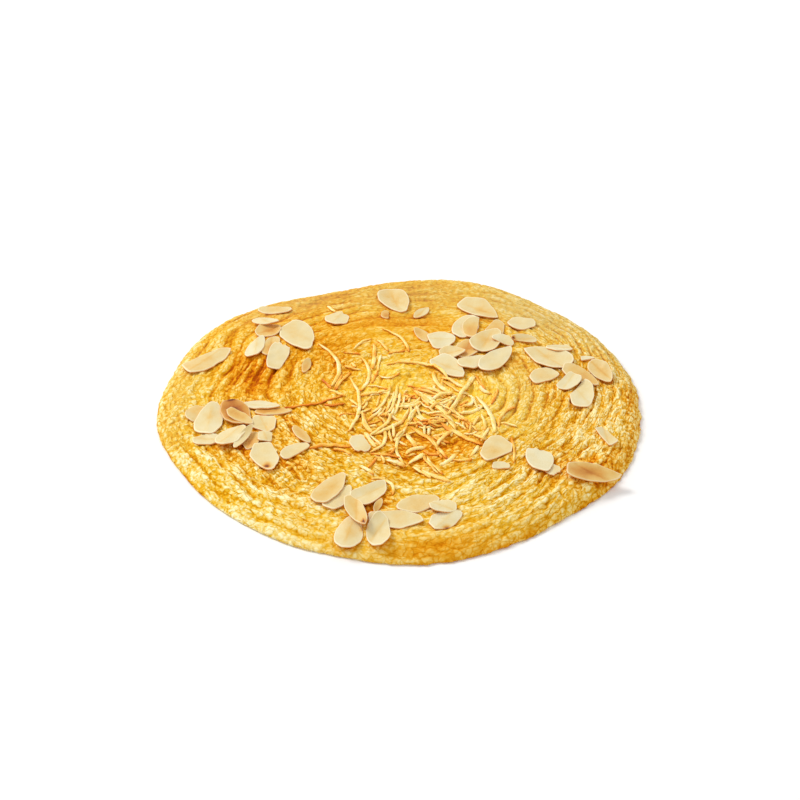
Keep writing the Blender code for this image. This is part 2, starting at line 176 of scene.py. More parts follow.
def outline_radius(angle):
    """Distance from the middle to the edge of the crust at an angle in radians."""
    radius = np.full(np.shape(angle), MEAN_RADIUS)
    for direction, height, spread in OUTLINE_SWELLS:
        away = np.degrees(turned_away(angle, math.radians(direction)))
        radius = radius + height * np.exp(-((away / spread) ** 2))
    return radius


def coil_point(share, angle):
    """Place on the crust of a share of the way from the coil's middle to the edge."""
    reach = share * outline_radius(angle)
    drift = 1 - share**2
    return COIL_MIDDLE[0] * drift + reach * np.cos(angle), COIL_MIDDLE[1] * drift + reach * np.sin(angle)


def coil_share(x, y):
    """The share of coil_point at a place, found by closing in on it."""
    share = np.hypot(x, y) / MEAN_RADIUS
    for _ in range(SHARE_ROUNDS):
        drift = 1 - np.minimum(share, 1) ** 2
        away_x = x - COIL_MIDDLE[0] * drift
        away_y = y - COIL_MIDDLE[1] * drift
        share = np.hypot(away_x, away_y) / outline_radius(np.arctan2(away_y, away_x))
    return share


def swell(x, y, middle_x, middle_y, half_long, half_wide, turn):
    """A smooth hill of height 1 over a turned oval."""
    along = (x - middle_x) * math.cos(math.radians(turn)) + (y - middle_y) * math.sin(math.radians(turn))
    across = (y - middle_y) * math.cos(math.radians(turn)) - (x - middle_x) * math.sin(math.radians(turn))
    return np.exp(-((along / half_long) ** 2) - (across / half_wide) ** 2)


print("radius to the right, back, left and front:", outline_radius(np.radians((0, 90, 180, 270))).round(1))

# %% [markdown]
# Several kinds of relief lie on each other. The turns of the coil are broad ridges, or thinner ropes, that wander
# a little. The edges of the dough's thin layers show as long streaks that follow the turns: noise that is stretched
# along the coil gives them, because it reads the distance from the coil's middle quickly and the place on the
# cookie slowly. On top are pebbles of one to three millimetres, from even noise. The tops of both are made flat and
# wide, with narrow valleys between them, as layers that puff up in the oven have.

# %% Noise helpers
NOISE_GAIN = 1.6
LAYER_STEP = 17.3


def noise_values(*coordinates):
    """Noise from about -1 to 1 at each point, given its three coordinates as arrays."""
    flat = [np.ravel(np.broadcast_to(part, np.shape(coordinates[0]))) for part in coordinates]
    values = [noise.noise(point) for point in zip(*flat)]
    return np.reshape(values, np.shape(coordinates[0])) * NOISE_GAIN


def smooth_noise(x, y, length, layer):
    """Noise over the crust, with bumps of the given length. Layers differ in pattern."""
    return noise_values(x / length, y / length, np.full(np.shape(x), LAYER_STEP * layer))


def streaks(line, x, y, width, length):
    """Noise in streaks of a width and length, which run along a line of the coil."""
    return noise_values(line / width, x / length, y / length)


def plateau(values, low, high):
    """Turns noise into broad tops of height 1 with valleys between them."""
    share = np.clip((values - low) / (high - low), 0, 1)
    return share * share * (3 - 2 * share)


# %% Where each kind of relief is strong
# Regions: place, half-length, half-width, turn in degrees, strength
STRAND_REGIONS = (
    (58, -58, 75, 34, 38, 1.0),
    (82, 0, 50, 24, 90, 0.8),
    (-36, -22, 34, 18, 116, 1.1),
    (-74, 15, 50, 30, 95, 0.8),
    (-66, -58, 55, 26, 132, 0.9),
    (0, -88, 55, 18, 0, 0.35),
    (0, 80, 90, 22, 0, 0.5),
)
PEBBLE_REGIONS = (
    (-88, -20, 50, 20, 90, 0.7),
    (-45, -60, 50, 26, -35, 0.9),
    (0, -80, 55, 24, 0, 0.9),
    (0, 15, 22, 18, 0, 0.7),
    (50, 0, 30, 20, 80, 0.5),
    (95, 0, 40, 10, 90, 0.7),
    (0, 84, 90, 18, 0, 0.8),
)
BROAD_REGIONS = (
    (48, -2, 32, 16, 82, 1.3),
    (-66, 20, 32, 20, 84, 1.1),
    (-84, 52, 34, 13, 55, 1.2),
    (-40, 62, 44, 15, 35, 0.9),
    (0, 78, 60, 18, 0, 0.4),
    (-10, 20, 30, 20, 0, 0.5),
)
ROPE_REGIONS = (
    (80, -18, 38, 18, 78, 0.75),
    (-74, 33, 38, 20, 98, 0.7),
    (-76, -56, 62, 17, 132, 0.9),
    (66, -58, 60, 24, 38, 0.4),
    (80, 52, 50, 16, -52, 0.9),
)
LUMP_REGIONS = (
    (0, 84, 95, 24, 0, 0.5),
    (-84, 44, 40, 16, 58, 0.35),
    (80, 50, 44, 18, -52, 0.35),
)
# Deep valleys between two layers: place, half-length, half-width, turn in degrees, depth
VALLEYS = (
    (-74, 21, 17, 0.9, 78, 0.6),
    (-66.5, 20, 7, 1.2, 80, 0.8),
    (-63.5, 13, 9, 1.1, 74, 0.8),
    (-57, 14, 14, 0.9, 80, 0.5),
    (-82.5, 24, 16, 1.0, 82, 0.5),
    (-41, 24, 15, 1.0, 66, 0.8),
    (-50, 14, 14, 0.9, 78, 0.8),
    (-67, -46, 9, 1.6, 130, 0.8),
    (-58, -58, 9, 1.3, 138, 0.7),
    (-80, -38, 10, 1.2, 122, 0.5),
    (66, -18, 16, 1.4, 72, 0.8),
    (74, -22, 18, 1.4, 74, 0.8),
)
# Lighter and darker regions, in the same form, and regions where the finest relief is stronger or softer
PALE_REGIONS = (
    (0, 90, 90, 24, 0, -0.26),
    (86, -14, 40, 22, 82, 0.46),
    (20, -78, 44, 14, 10, 0.14),
    (-55, -62, 44, 18, -45, 0.2),
    (-95, -10, 50, 10, 90, -0.06),
    (-28, -92, 34, 12, -12, 0.1),
    (24, -37, 12, 7, 12, 0.3),
    (4, -36, 8, 10, 0, 0.15),
    (32, 2, 14, 16, 0, 0.18),
    (64, 72, 42, 16, -40, 0.2),
    (66, -58, 40, 16, 38, 0.08),
)
CRISP_REGIONS = (
    (-74, 18, 44, 24, 90, -0.35),
    (8, 14, 26, 20, 0, -0.25),
    (48, -2, 30, 14, 82, -0.15),
    (0, -98, 90, 20, 0, -0.45),
    (0, 82, 100, 28, 0, -0.35),
    (-60, -35, 60, 36, -45, 0.2),
    (-6, 52, 44, 16, 0, -0.35),
    (85, -10, 40, 20, 80, 0.15),
)


def strength_at(x, y, regions, least):
    """How strong one kind of relief is at each place: the strongest region counts."""
    strength = np.full(np.shape(x), float(least))
    for *oval, height in regions:
        strength = np.maximum(strength, height * swell(x, y, *oval))
    return strength


def sum_at(x, y, regions):
    """The sum of signed regions at each place."""
    total = np.zeros(np.shape(x))
    for *oval, height in regions:
        total = total + height * swell(x, y, *oval)
    return total


print("valleys between layers:", len(VALLEYS))


# %% [markdown]
# All relief follows lines of the coil. The plain line is the distance from the coil's middle. It wanders a little,
# less so near the edge, and at the front on the right it leans across the turns, as the layers do there.

# %% Lines of the coil
BROAD_TURNS = 15
ROPE_TURNS = 20
RIDGE_POWER = 0.5
RIDGE_LEVEL = 0.78
CALM_WIDTH = 18
CALM_LEAST = 0.3
# How far the turns wander, over which length, and the layer of noise that says where
WANDERS = ((3.0, 30, 5), (1.0, 11, 6))
STRAND_WANDER = 0.6
ROPE_WANDER = 0.4
LEAN = 0.22
LEAN_SHARE = 0.8
LEAN_MIDDLE = math.radians(-62)
LEAN_OVAL = STRAND_REGIONS[0][:5]


def ridges(reach, turns):
    """Rounded ridges with narrow valleys, so many over the radius."""
    return np.abs(np.sin(math.pi * turns * reach / MEAN_RADIUS)) ** RIDGE_POWER - RIDGE_LEVEL


def coil_lines(x, y, reach, inside):
    """The wander at each place, and the lines that the strands, folds and ropes follow."""
    calm = np.clip(inside / CALM_WIDTH, CALM_LEAST, 1)
    wander = calm * sum(height * smooth_noise(x, y, length, layer) for height, length, layer in WANDERS)
    turn = turned_away(np.arctan2(y, x), LEAN_MIDDLE)
    front = swell(x, y, *LEAN_OVAL)
    leaning = reach + STRAND_WANDER * wander + LEAN * MEAN_RADIUS * LEAN_SHARE * turn * front
    return wander, {"strand_line": leaning, "fold_line": reach + wander, "rope_line": leaning + ROPE_WANDER * wander}


# %% [markdown]
# Now the kinds of relief are added up, twice. One sum is the height in millimetres. The other says how pale a place
# is painted: what stands up gets painted light and what lies deep gets painted shade, on top of the bake's own
# lighter and darker regions. The weights of the two sums differ: a groove may be deep and yet not painted very dark.

# %% Weights of the relief
# Width and length of the streaks, and size of the rounder bumps, in millimetres
STRAND_SIZE = (2.2, 8)
LUMP_SIZE = (5.0, 11)
PEBBLE_SIZE = 1.9
KNOB_SIZE = 3.2
# Layers of noise for the bumps
PEBBLE_LAYER = 50
KNOB_LAYER = 90
# Least strength of each kind of relief where no region names it
LEAST = {"strands": 0.3, "pebbles": 0.45, "folds": 0.25, "ropes": 0.05, "lumps": 0.14}
# Folds and ropes come and go: middle strength, how much it varies, length and layer of that noise, and limits
COME_AND_GO = (0.85, 0.7, 16, 7, 0.15, 1.4)
# Height and paleness that each kind adds at full strength. The paleness is painted light on what stands up and
# painted shade in what lies deep.
BROAD_HEIGHT, BROAD_PALE = 1.4, 0.9
ROPE_HEIGHT = 1.3
LUMP_HEIGHT = 0.3
STRAND_SHARE, PEBBLE_SHARE, MIXED_PALE = 0.75, 0.8, 0.1
TOP_HEIGHT, TOP_PALE = 0.8, 0.55
TOP_LIMITS = (-0.45, 0.4)
TOP_LEVEL = 0.55
VALLEY_PALE = 0.6
KNOB_HEIGHT, KNOB_PALE = 0.9, 0.5
KNOB_OVAL = (1, 19, 14, 9, 10)
# A groove runs along the edge at the left of the front, with a pale bead outside it
GROOVE_MIDDLE = math.radians(222)
GROOVE_REACH, BEAD_REACH = 0.8, 0.9
GROOVE_INSET, GROOVE_HALF_WIDTH, GROOVE_WANDER = 3.4, 0.9, 0.2
GROOVE_HEIGHT, GROOVE_PALE = 0.9, 0.6
GROOVE_SPOTS = (0.55, 1.1, 7, 9, 0.1, 1.2)
BEAD_PALE = 0.4
# The rounded edge
EDGE_SLOPE = 11.0
EDGE_POWER = 0.85
EDGE_ROUGHNESS = 0.3

# %% Crust height


def varied(x, y, middle, variation, length, layer, least, most):
    """A strength that varies over the crust between two limits."""
    return np.clip(middle + variation * smooth_noise(x, y, length, layer), least, most)


def edge_groove(x, y, inside, wander):
    """Strength of the groove near the edge, and of the bead outside it."""
    direction = turned_away(np.arctan2(y, x), GROOVE_MIDDLE)
    across = (inside - GROOVE_INSET - GROOVE_WANDER * wander) / GROOVE_HALF_WIDTH
    groove = np.exp(-(across**2)) * varied(x, y, *GROOVE_SPOTS) * np.exp(-((direction / GROOVE_REACH) ** 2))
    bead = np.clip(1.2 - inside / 2, 0, 1) * np.exp(-((direction / BEAD_REACH) ** 2))
    return groove, bead


def crust_shape(x, y):
    """Height of the bare crust over the table, and what each place notes for the material."""
    share = coil_share(x, y)
    reach = share * MEAN_RADIUS
    inside = np.clip(MEAN_RADIUS - reach, 0, MEAN_RADIUS)
    wander, lines = coil_lines(x, y, reach, inside)
    stranded = strength_at(x, y, STRAND_REGIONS, LEAST["strands"])
    pebbled = strength_at(x, y, PEBBLE_REGIONS, LEAST["pebbles"])
    come_and_go = varied(x, y, *COME_AND_GO)
    folded = strength_at(x, y, BROAD_REGIONS, LEAST["folds"]) * come_and_go
    roped = strength_at(x, y, ROPE_REGIONS, LEAST["ropes"]) * come_and_go
    lumpy = strength_at(x, y, LUMP_REGIONS, LEAST["lumps"])
    valleys = sum_at(x, y, VALLEYS)
    crisp = 1 + sum_at(x, y, CRISP_REGIONS)
    broad = ridges(lines["fold_line"], BROAD_TURNS) * folded
    ropes = ridges(lines["rope_line"], ROPE_TURNS) * roped
    groove, bead = edge_groove(x, y, inside, wander)
    strands = streaks(lines["strand_line"], x, y, *STRAND_SIZE)
    lumps = streaks(lines["fold_line"], x, y, *LUMP_SIZE)
    pebbles = noise_values(x / PEBBLE_SIZE, y / PEBBLE_SIZE, share * 0 + PEBBLE_LAYER)
    knobs = noise_values(x / KNOB_SIZE, y / KNOB_SIZE, share * 0 + KNOB_LAYER) * swell(x, y, *KNOB_OVAL)
    mixed = STRAND_SHARE * strands * stranded + PEBBLE_SHARE * pebbles * pebbled
    tops = plateau(mixed, *TOP_LIMITS) - TOP_LEVEL
    detail = BROAD_HEIGHT * broad + ROPE_HEIGHT * ropes + (LUMP_HEIGHT * lumps + TOP_HEIGHT * tops) * crisp
    detail = detail - valleys - GROOVE_HEIGHT * groove + KNOB_HEIGHT * knobs
    # Paleness: painted light on what stands up and painted shade in the valleys and the groove, with the bake's own
    # regions
    pale_and_shade = BROAD_PALE * broad + ropes + lumpy * lumps + (TOP_PALE * tops + MIXED_PALE * mixed) * crisp
    pale_and_shade = pale_and_shade - VALLEY_PALE * valleys - GROOVE_PALE * groove + BEAD_PALE * bead + KNOB_PALE * knobs
    pale_and_shade = pale_and_shade + sum_at(x, y, PALE_REGIONS)
    plate = MIDDLE_HEIGHT - RIM_FALL * share**4
    plate = plate + WAVE_RISE * smooth_noise(x, y, WAVE_LENGTH, 2) + sum_at(x, y, CRUST_SWELLS)
    rounding = (1 - (1 - np.minimum(inside / EDGE_SLOPE, 1)) ** 2) ** EDGE_POWER
    rough = np.minimum(inside / 2 + EDGE_ROUGHNESS, 1)
    top = EDGE_HEIGHT + (plate - EDGE_HEIGHT) * rounding + detail * rough
    return top, {"crest": pale_and_shade, "stranded": stranded, "crisp": crisp, "folded": folded, "roped": roped, **lines}


print("height in the middle:", crust_shape(np.zeros(1), np.zeros(1))[0].round(2), "mm")

# %% [markdown]
# A flat grid is wrapped into a round: each square ring of the grid becomes a ring of the coil, so the streaks run
# along the mesh's own rows. The last rings follow the rounded edge. Then the open border is extruded down and in,
# in three small steps, and filled to close the flat base.

# %% Mesh helpers


def deselect():
    """Leave nothing selected, so that operators act only on the new piece."""
    bpy.ops.object.select_all(action="DESELECT")


def points_of(piece):
    """The piece's points in millimetres."""
    flat = np.empty(len(piece.data.vertices) * 3)
    piece.data.vertices.foreach_get("co", flat)
    return flat.reshape(-1, 3) / MM


def move_points(piece, points):
    """Write the piece's points, given in millimetres."""
    piece.data.vertices.foreach_set("co", (np.asarray(points) * MM).ravel())
    piece.data.update()


def note(piece, name, values):
    """Keep one number for each point, for the material to read."""
    attribute = piece.data.attributes.new(name, "FLOAT", "POINT")
    attribute.data.foreach_set("value", np.asarray(values, dtype=np.float32))


# %% Wrap a grid into the round
RINGS = 152

deselect()
bpy.ops.mesh.primitive_grid_add(x_subdivisions=2 * RINGS, y_subdivisions=2 * RINGS, size=2)
pastry = bpy.context.object
pastry.name = "pastry"


def wrapped(across, up):
    """Share and angle in the round for a place in the square from -1 to 1."""
    share = np.maximum(np.abs(across), np.abs(up))
    wide = np.abs(across) >= np.abs(up)
    first = np.where(wide, across, up)
    second = np.where(wide, up, across)
    eighth = math.pi / 4 * second / np.where(first == 0, 1, first)
    angle = np.where(wide, eighth, math.pi / 2 - eighth) + np.where(first < 0, math.pi, 0)
    return share, angle


square = points_of(pastry) * MM
share, angle = wrapped(square[:, 0], square[:, 1])
x, y = coil_point(share, angle)
height, noted = crust_shape(x, y)
move_points(pastry, np.stack([x, y, height], axis=1))
print("pastry points:", len(x), "crest:", round(noted["crest"].mean(), 3), "spread", round(noted["crest"].std(), 3))

# %% Extrude the foot and close the base
# Steps of the foot: how far in, in millimetres, and the share of the height that is left
FOOT_STEPS = ((0.1, 0.7), (0.3, 0.5), (0.6, 0))

bpy.ops.object.mode_set(mode="EDIT")
bpy.ops.mesh.select_mode(type="EDGE")
bpy.ops.mesh.select_all(action="DESELECT")
bpy.ops.mesh.select_non_manifold()
for inset, height_kept in FOOT_STEPS:
    bpy.ops.mesh.extrude_region_move()
    shrink = 1 - inset / MEAN_RADIUS
    bpy.ops.transform.resize(value=(shrink, shrink, height_kept), center_override=(0, 0, 0))
bpy.ops.mesh.edge_face_add()
bpy.ops.mesh.select_all(action="SELECT")
bpy.ops.mesh.normals_make_consistent(inside=False)
bpy.ops.object.mode_set(mode="OBJECT")
bpy.ops.object.shade_smooth()
print("pastry faces:", len(pastry.data.polygons))

# %% [markdown]
# The rounded edge gets small dents along its outward direction, because heights alone would leave it smooth.
# Then each point notes what the material needs there: how far it stands out (ridges are painted pale and valleys
# golden, partly the bake's tone and partly painted light and shade), how brown, tan or soaked with melted cheese the
# region is, with a few painted shadows among the brown, and how far out along the coil it lies.

# %% Regions of the bake
# Browned regions of the crust, and a few painted shadows beside flakes: place, half-length, half-width, turn in
# degrees, strength
BROWN_AND_SHADOW_REGIONS = (
    (-65, 17, 13, 3, 80, 0.5),
    (-74, 22, 14, 2, 80, 0.4),
    (-62, 19, 22, 13, 82, 0.5),
    (-74, 35, 7, 6, 0, 0.4),
    (-33, 46, 22, 10, 40, 0.45),
    (4, 60, 26, 6, 0, 0.4),
    (-50, 68, 28, 7, 35, 0.25),
    (-26, 24, 13, 8, 90, 0.6),
    (-22, -8, 16, 8, 0, 0.3),
    (4, -36, 6, 12, 0, 1.1),
    (14, -29, 10, 5, 0, 0.4),
    (23, -36, 12, 6, 15, 1.1),
    (-4, -26, 14, 8, 0, 0.4),
    (-42, -49, 11, 5, -15, 0.45),
    (16, -4, 22, 14, 0, -0.3),
    (-6, 24, 16, 12, 0, -0.3),
    (-12, -79, 8, 6, 60, 1.0),
    (-8, -72, 6, 5, 0, 0.6),
    (-64, -37, 7, 5, 0, 0.8),
    (-52, -48, 7, 5, 0, 0.5),
    (-47, -17, 5, 3, -60, 0.7),
    (25, -99, 36, 6, 6, 0.5),
    (60, -90, 26, 6, 32, 0.45),
    (101, -8, 30, 4, 87, 0.35),
    (84, -2, 34, 14, 82, 0.15),
    (74, -51, 18, 8, 10, 0.75),
    (88, -40, 12, 6, 40, 0.4),
    (49, 26, 6, 5, 60, 0.5),
    (-92, -5, 45, 10, 92, -0.5),
    (46, -12, 30, 10, 82, -0.35),
    (28, -66, 24, 9, 10, -0.3),
    (0, -80, 40, 12, 0, -0.25),
    (70, 62, 44, 16, -42, -0.4),
    (-70, -66, 40, 9, 130, -0.6),
    (-20, -56, 24, 7, -20, -0.2),
)
# Rear and right of the rear, where the crust is a duller tan
TAN_REGIONS = (
    (5, 88, 64, 20, 0, 0.35),
    (-48, 80, 34, 12, 28, 0.4),
    (60, 70, 40, 15, -40, 0.6),
    (88, 46, 26, 10, -62, 0.4),
    (52, 8, 32, 12, 82, 0.2),
    (-97, 8, 56, 9, 88, 0.22),
)
# Over the middle, where melted cheese has soaked in and left the crust a clear yellow
MELTED_REGIONS = (
    (18, -14, 26, 11, 0, 0.75),
    (30, 0, 15, 16, 0, 0.55),
    (-6, 4, 22, 14, 0, 0.45),
    (-6, 20, 14, 8, 0, 0.4),
)
LEAST_BROWN_AND_SHADOW = -0.6
print("regions:", len(BROWN_AND_SHADOW_REGIONS), "brown,", len(TAN_REGIONS), "tan,", len(MELTED_REGIONS), "melted")

# %% Dent the edge and note the bake
DENT, DENT_LENGTH, DENT_LAYER = 0.45, 4, 8
FINE_DENT, FINE_DENT_LENGTH = 0.3, 2.2
BASE_TOP = 0.05
# Fewer dents where the groove is: how many of them it takes away, and how wide that is in radians
EVEN_SHARE, EVEN_REACH = 0.8, 0.9

points = points_of(pastry)
x, y, z = points.T
share = coil_share(x, y)
angle = np.arctan2(y, x)
inside = np.clip(1 - share, 0, 1) * MEAN_RADIUS
edge = np.clip(1 - inside / EDGE_ROUND, 0, 1) * (z > BASE_TOP)
even = 1 - EVEN_SHARE * np.exp(-((turned_away(angle, GROOVE_MIDDLE) / EVEN_REACH) ** 2))
dent = DENT * smooth_noise(x, y, DENT_LENGTH, DENT_LAYER)
dent = dent + FINE_DENT * noise_values(x / FINE_DENT_LENGTH, y / FINE_DENT_LENGTH, z / FINE_DENT_LENGTH)
dent = dent * edge * even
points[:, 0] += dent * np.cos(angle)
points[:, 1] += dent * np.sin(angle)
move_points(pastry, points)
noted = crust_shape(x, y)[1]
# Brown regions, with a few painted shadows beside flakes among them
note(pastry, "brown", np.clip(sum_at(x, y, BROWN_AND_SHADOW_REGIONS), LEAST_BROWN_AND_SHADOW, 1))
note(pastry, "tan", np.clip(strength_at(x, y, TAN_REGIONS, 0), 0, 1))
note(pastry, "melted", np.clip(strength_at(x, y, MELTED_REGIONS, 0), 0, 1))
for name, values in noted.items():
    note(pastry, name, values)
print("deepest dent:", round(float(-dent.min()), 2), "mm")

# %% [markdown]
# Each almond is one line: where its middle is, how long and wide, which way it points, its outline, how much its
# ends curl, how far it leans, and how toasted it is. They are in the order in which they fell, so each rests on
# those before it. The same lines shape the toppings of the solid. The slicer left straight breaks on many of them,
# and a second table gives those: the flake's number, then the direction of each break on the cookie, in degrees
# from the right, and how far out it lies.

# %% Almonds
FLAKES = (
    # Left of the back
    (-87.3, 30, 27, 12, 36, "whole", 0.6, 0, 0.2),
    (-58.5, 72, 16, 8, -3, "oval", 0.4, 0, 0.25),
    (-42, 24, 11, 4, 78, "sliver", 0.2, 0, 0.45),
    (-60.5, 52, 12, 11, 30, "oval", 0.8, 0, 0.5),
    (-61.8, 57.5, 15, 4, -20, "sliver", 0.6, 35, 0.15),
    (-58.5, 39, 15, 7, 75, "oval", 0.2, 0, 0.45),
    (-65, 38.3, 17, 7.5, 72, "whole", 0.4, 0, 0.08),
    (-54.8, 32, 24, 9.5, 80, "broken", 0.5, 0, 0.1),
    (-46.6, 47.3, 26, 15, -68, "whole", 0.7, 0, 0.24),
    # Back
    (-6.4, 66.3, 7, 5, 90, "half", 0.2, 0, 0.5),
    (-2.3, 78.6, 23, 13.5, -70, "whole", 0.7, 0, 0.3),
    (-28.6, 64, 14, 12, 62, "broken", 0.5, 0, 0.05),
    (10, 69.5, 11, 5, 50, "sliver", 0.3, 0, 0.3),
    # Right of the back
    (30.3, 56, 20.5, 12, 71, "oval", 0.5, 0, 0.06),
    (37, 72, 24, 13, -48, "whole", 0.7, 0, 0.3),
    (10.2, 49.5, 12, 5.5, -58, "oval", 0.3, 0, 0.3),
    (18.5, 44.8, 13.5, 12.5, 0, "oval", 0.4, 0, 0.1),
    (30.5, 37, 15, 11, 60, "oval", 0.3, 0, 0.42),
    (23.5, 33.4, 12.5, 8.5, -5, "whole", 0.4, 0, 0.12),
    (21.6, 22.6, 21, 11, -52, "whole", 0.5, 0, 0.1),
    (43.6, 52.5, 17, 9, 76, "oval", 0.4, 0, 0.4),
    (39.6, 43, 21, 12.5, 60, "whole", 0.7, 0, 0.3),
    (46.6, 42, 10.5, 8.5, -20, "half", 0.3, 0, 0.05),
    (33.6, 54, 17.5, 10, 83, "half", 0.5, 0, 0.45),
    (32.4, 25.8, 14, 10, 32, "whole", 0.4, 0, 0.15),
    (43, 27.3, 23, 10, 52, "whole", 0.7, 0, 0.0),
    # Right
    (56.3, 59, 13.5, 11.5, 10, "oval", 0.3, 0, 0.1),
    (56.5, 43.4, 12, 5, -15, "half", 0.6, 25, 0.25),
    (66.3, 30, 24, 15, 150, "whole", 0.7, 0, 0.2),
    (72.3, 37.6, 12.5, 9.5, 188, "half", 0.3, 0, 0.0),
    (64, 14.3, 13.5, 13, 28, "half", 0.4, 0, 0.15),
    (84.5, 29.3, 8, 4.5, 5, "half", 0.2, 0, 0.0),
    (88.3, 24, 6.5, 5, 40, "broken", 0.2, 0, 0.3),
    (89.3, 18, 16, 8.5, -62, "whole", 0.6, 18, 0.22),
    (79.6, 15.6, 21, 9, -42, "whole", 0.6, 0, 0.35),
    (74.4, 10.2, 13.5, 9, 45, "oval", 0.4, 0, 0.0),
    (79, 1.4, 23, 11.5, 83, "oval", 0.4, 0, 0.15),
    (87.5, -27.5, 17, 6.5, -62, "oval", 0.3, 0, 0.1),
    # Right of the front
    (40.3, -39.6, 21, 13.5, 74, "oval", 0.5, 0, 0.2),
    (41.8, -52.5, 7.5, 6.2, 0, "half", 0.3, 0, 0.0),
    (63.3, -53.8, 8, 6.5, -35, "broken", 0.2, 0, 0.05),
    (58, -46.5, 20, 11.5, 94, "broken", 0.4, 0, 0.0),
    (79.2, -54, 25, 10, 3, "whole", 0.9, 0, 0.62),
    (-16.8, -37.3, 15, 8.5, -74, "broken", 0.3, 0, 0.15),
    # Front
    (-25, -71, 17, 9, 57, "whole", 0.4, 0, 0.15),
    (-28.4, -65.6, 22, 10, 60, "whole", 0.6, 0, 0.4),
    (-12.4, -68.6, 19, 11.5, 42, "whole", 0.5, 0, 0.05),
    (-20, -91, 17.5, 11, 78, "whole", 0.4, 0, 0.2),
    (-17.4, -82.8, 21, 7, -68, "whole", 0.6, 12, 0.24),
    (-9.2, -77, 8.5, 3, 70, "sliver", 0.5, 30, 0.4),
    (7.3, -75.6, 18, 11, 25, "oval", 0.4, 0, 0.25),
    (-2.6, -85.2, 24.5, 11, 172, "oval", 0.5, 0, 0.08),
    (-8.3, -91.3, 17.5, 9.7, 86, "whole", 0.5, 0, 0.05),
    (18, -85.5, 16, 9, 30, "whole", 0.4, 0, 0.0),
    (17.4, -78.4, 12.5, 8.5, -10, "whole", 0.3, 0, 0.0),
    # Left
    (-88, -11, 11, 9, 70, "oval", 0.2, 0, 0.4),
    (-81.8, -15.5, 25, 11.5, 84, "whole", 0.6, 0, 0.15),
    (-70.8, -12, 18.5, 13, -60, "oval", 0.9, 0, 0.85),
    (-68.6, -16.5, 15.5, 6, -38, "whole", 0.4, 0, 0.45),
    (-54.5, -11.3, 16.5, 5.5, -5, "whole", 0.5, 0, 0.45),
    (-60, -6.7, 17, 6.8, -14, "sliver", 0.6, 0, 0.0),
    (-62.8, -32.6, 12, 7, 72, "oval", 0.2, 0, 0.42),
    (-66.4, -32.3, 17, 4, 64, "sliver", 0.8, 40, 0.2),
    (-81.6, -29.8, 13, 6.5, 0, "oval", 0.2, 0, 0.18),
    (-71.4, -30.6, 15.5, 11, 48, "oval", 0.5, 0, 0.12),
    (-42, -29, 16, 5, -60, "sliver", 0.2, 0, 0.42),
    (-43.8, -40.7, 14, 9.5, 42, "half", 0.4, 0, 0.2),
    (-57.2, -30.3, 9, 7.5, 90, "oval", 0.2, 0, 0.05),
    (-58.2, -20, 14, 12, 85, "oval", 0.3, 0, 0.15),
    (-56, -44, 21, 12, -73, "whole", 0.7, 0, 0.15),
)
BREAKS = {
    0: ((122, 0.7), (214, 0.86)),
    1: ((90, 0.7),),
    7: ((262, 0.86),),
    8: ((140, 0.82),),
    11: ((120, 0.7), (350, 0.8)),
    16: ((200, 0.8),),
    20: ((-70, 0.8), (150, 0.85)),
    24: ((110, 0.75), (-100, 0.85)),
    26: ((70, 0.75), (-60, 0.85)),
    29: ((35, 0.7),),
    31: ((5, 0.75), (185, 0.8), (275, 0.8)),
    33: ((60, 0.85),),
    35: ((143, 0.7), (53, 0.85)),
    36: ((147, 0.52), (262, 0.86), (182, 0.82)),
    37: ((134, 0.7), (-56, 0.72), (27, 0.72), (207, 0.72)),
    38: ((39, 0.74), (-55, 0.7), (165, 0.84)),
    41: ((40, 0.85), (250, 0.88)),
    43: ((100, 0.85), (25, 0.82), (205, 0.82)),
    46: ((120, 0.75),),
    50: ((90, 0.8),),
    51: ((95, 0.78), (190, 0.85)),
    53: ((210, 0.82), (-80, 0.85)),
    54: ((90, 0.8), (0, 0.86)),
    56: ((95, 0.9),),
    58: ((142, 0.88), (60, 0.8)),
    64: ((95, 0.8),),
    67: ((90, 0.72), (0, 0.8), (180, 0.78), (270, 0.8)),
    68: ((83, 0.76), (-3, 0.85), (178, 0.85), (240, 0.72)),
    69: ((97, 0.86), (170, 0.86), (20, 0.88)),
}
# Dark spots on the almonds, some where an almond browned and the one at (-73.5, -2) a painted shadow: place, and
# half-width
DARK_AND_SHADOW_SPOTS = ((-55, -51.5, 1.7), (18.8, -91.0, 1.9), (-14.2, -91, 1.2), (-73.5, -2, 2.4), (51.4, 44, 0.8))
print("almond flakes:", len(FLAKES))

# %% [markdown]
# Each shred of cheese is one line too: its two ends, how far it bows sideways between them, its width, and how
# toasted it is. A bow above zero goes to the left of the way from the first end to the second.

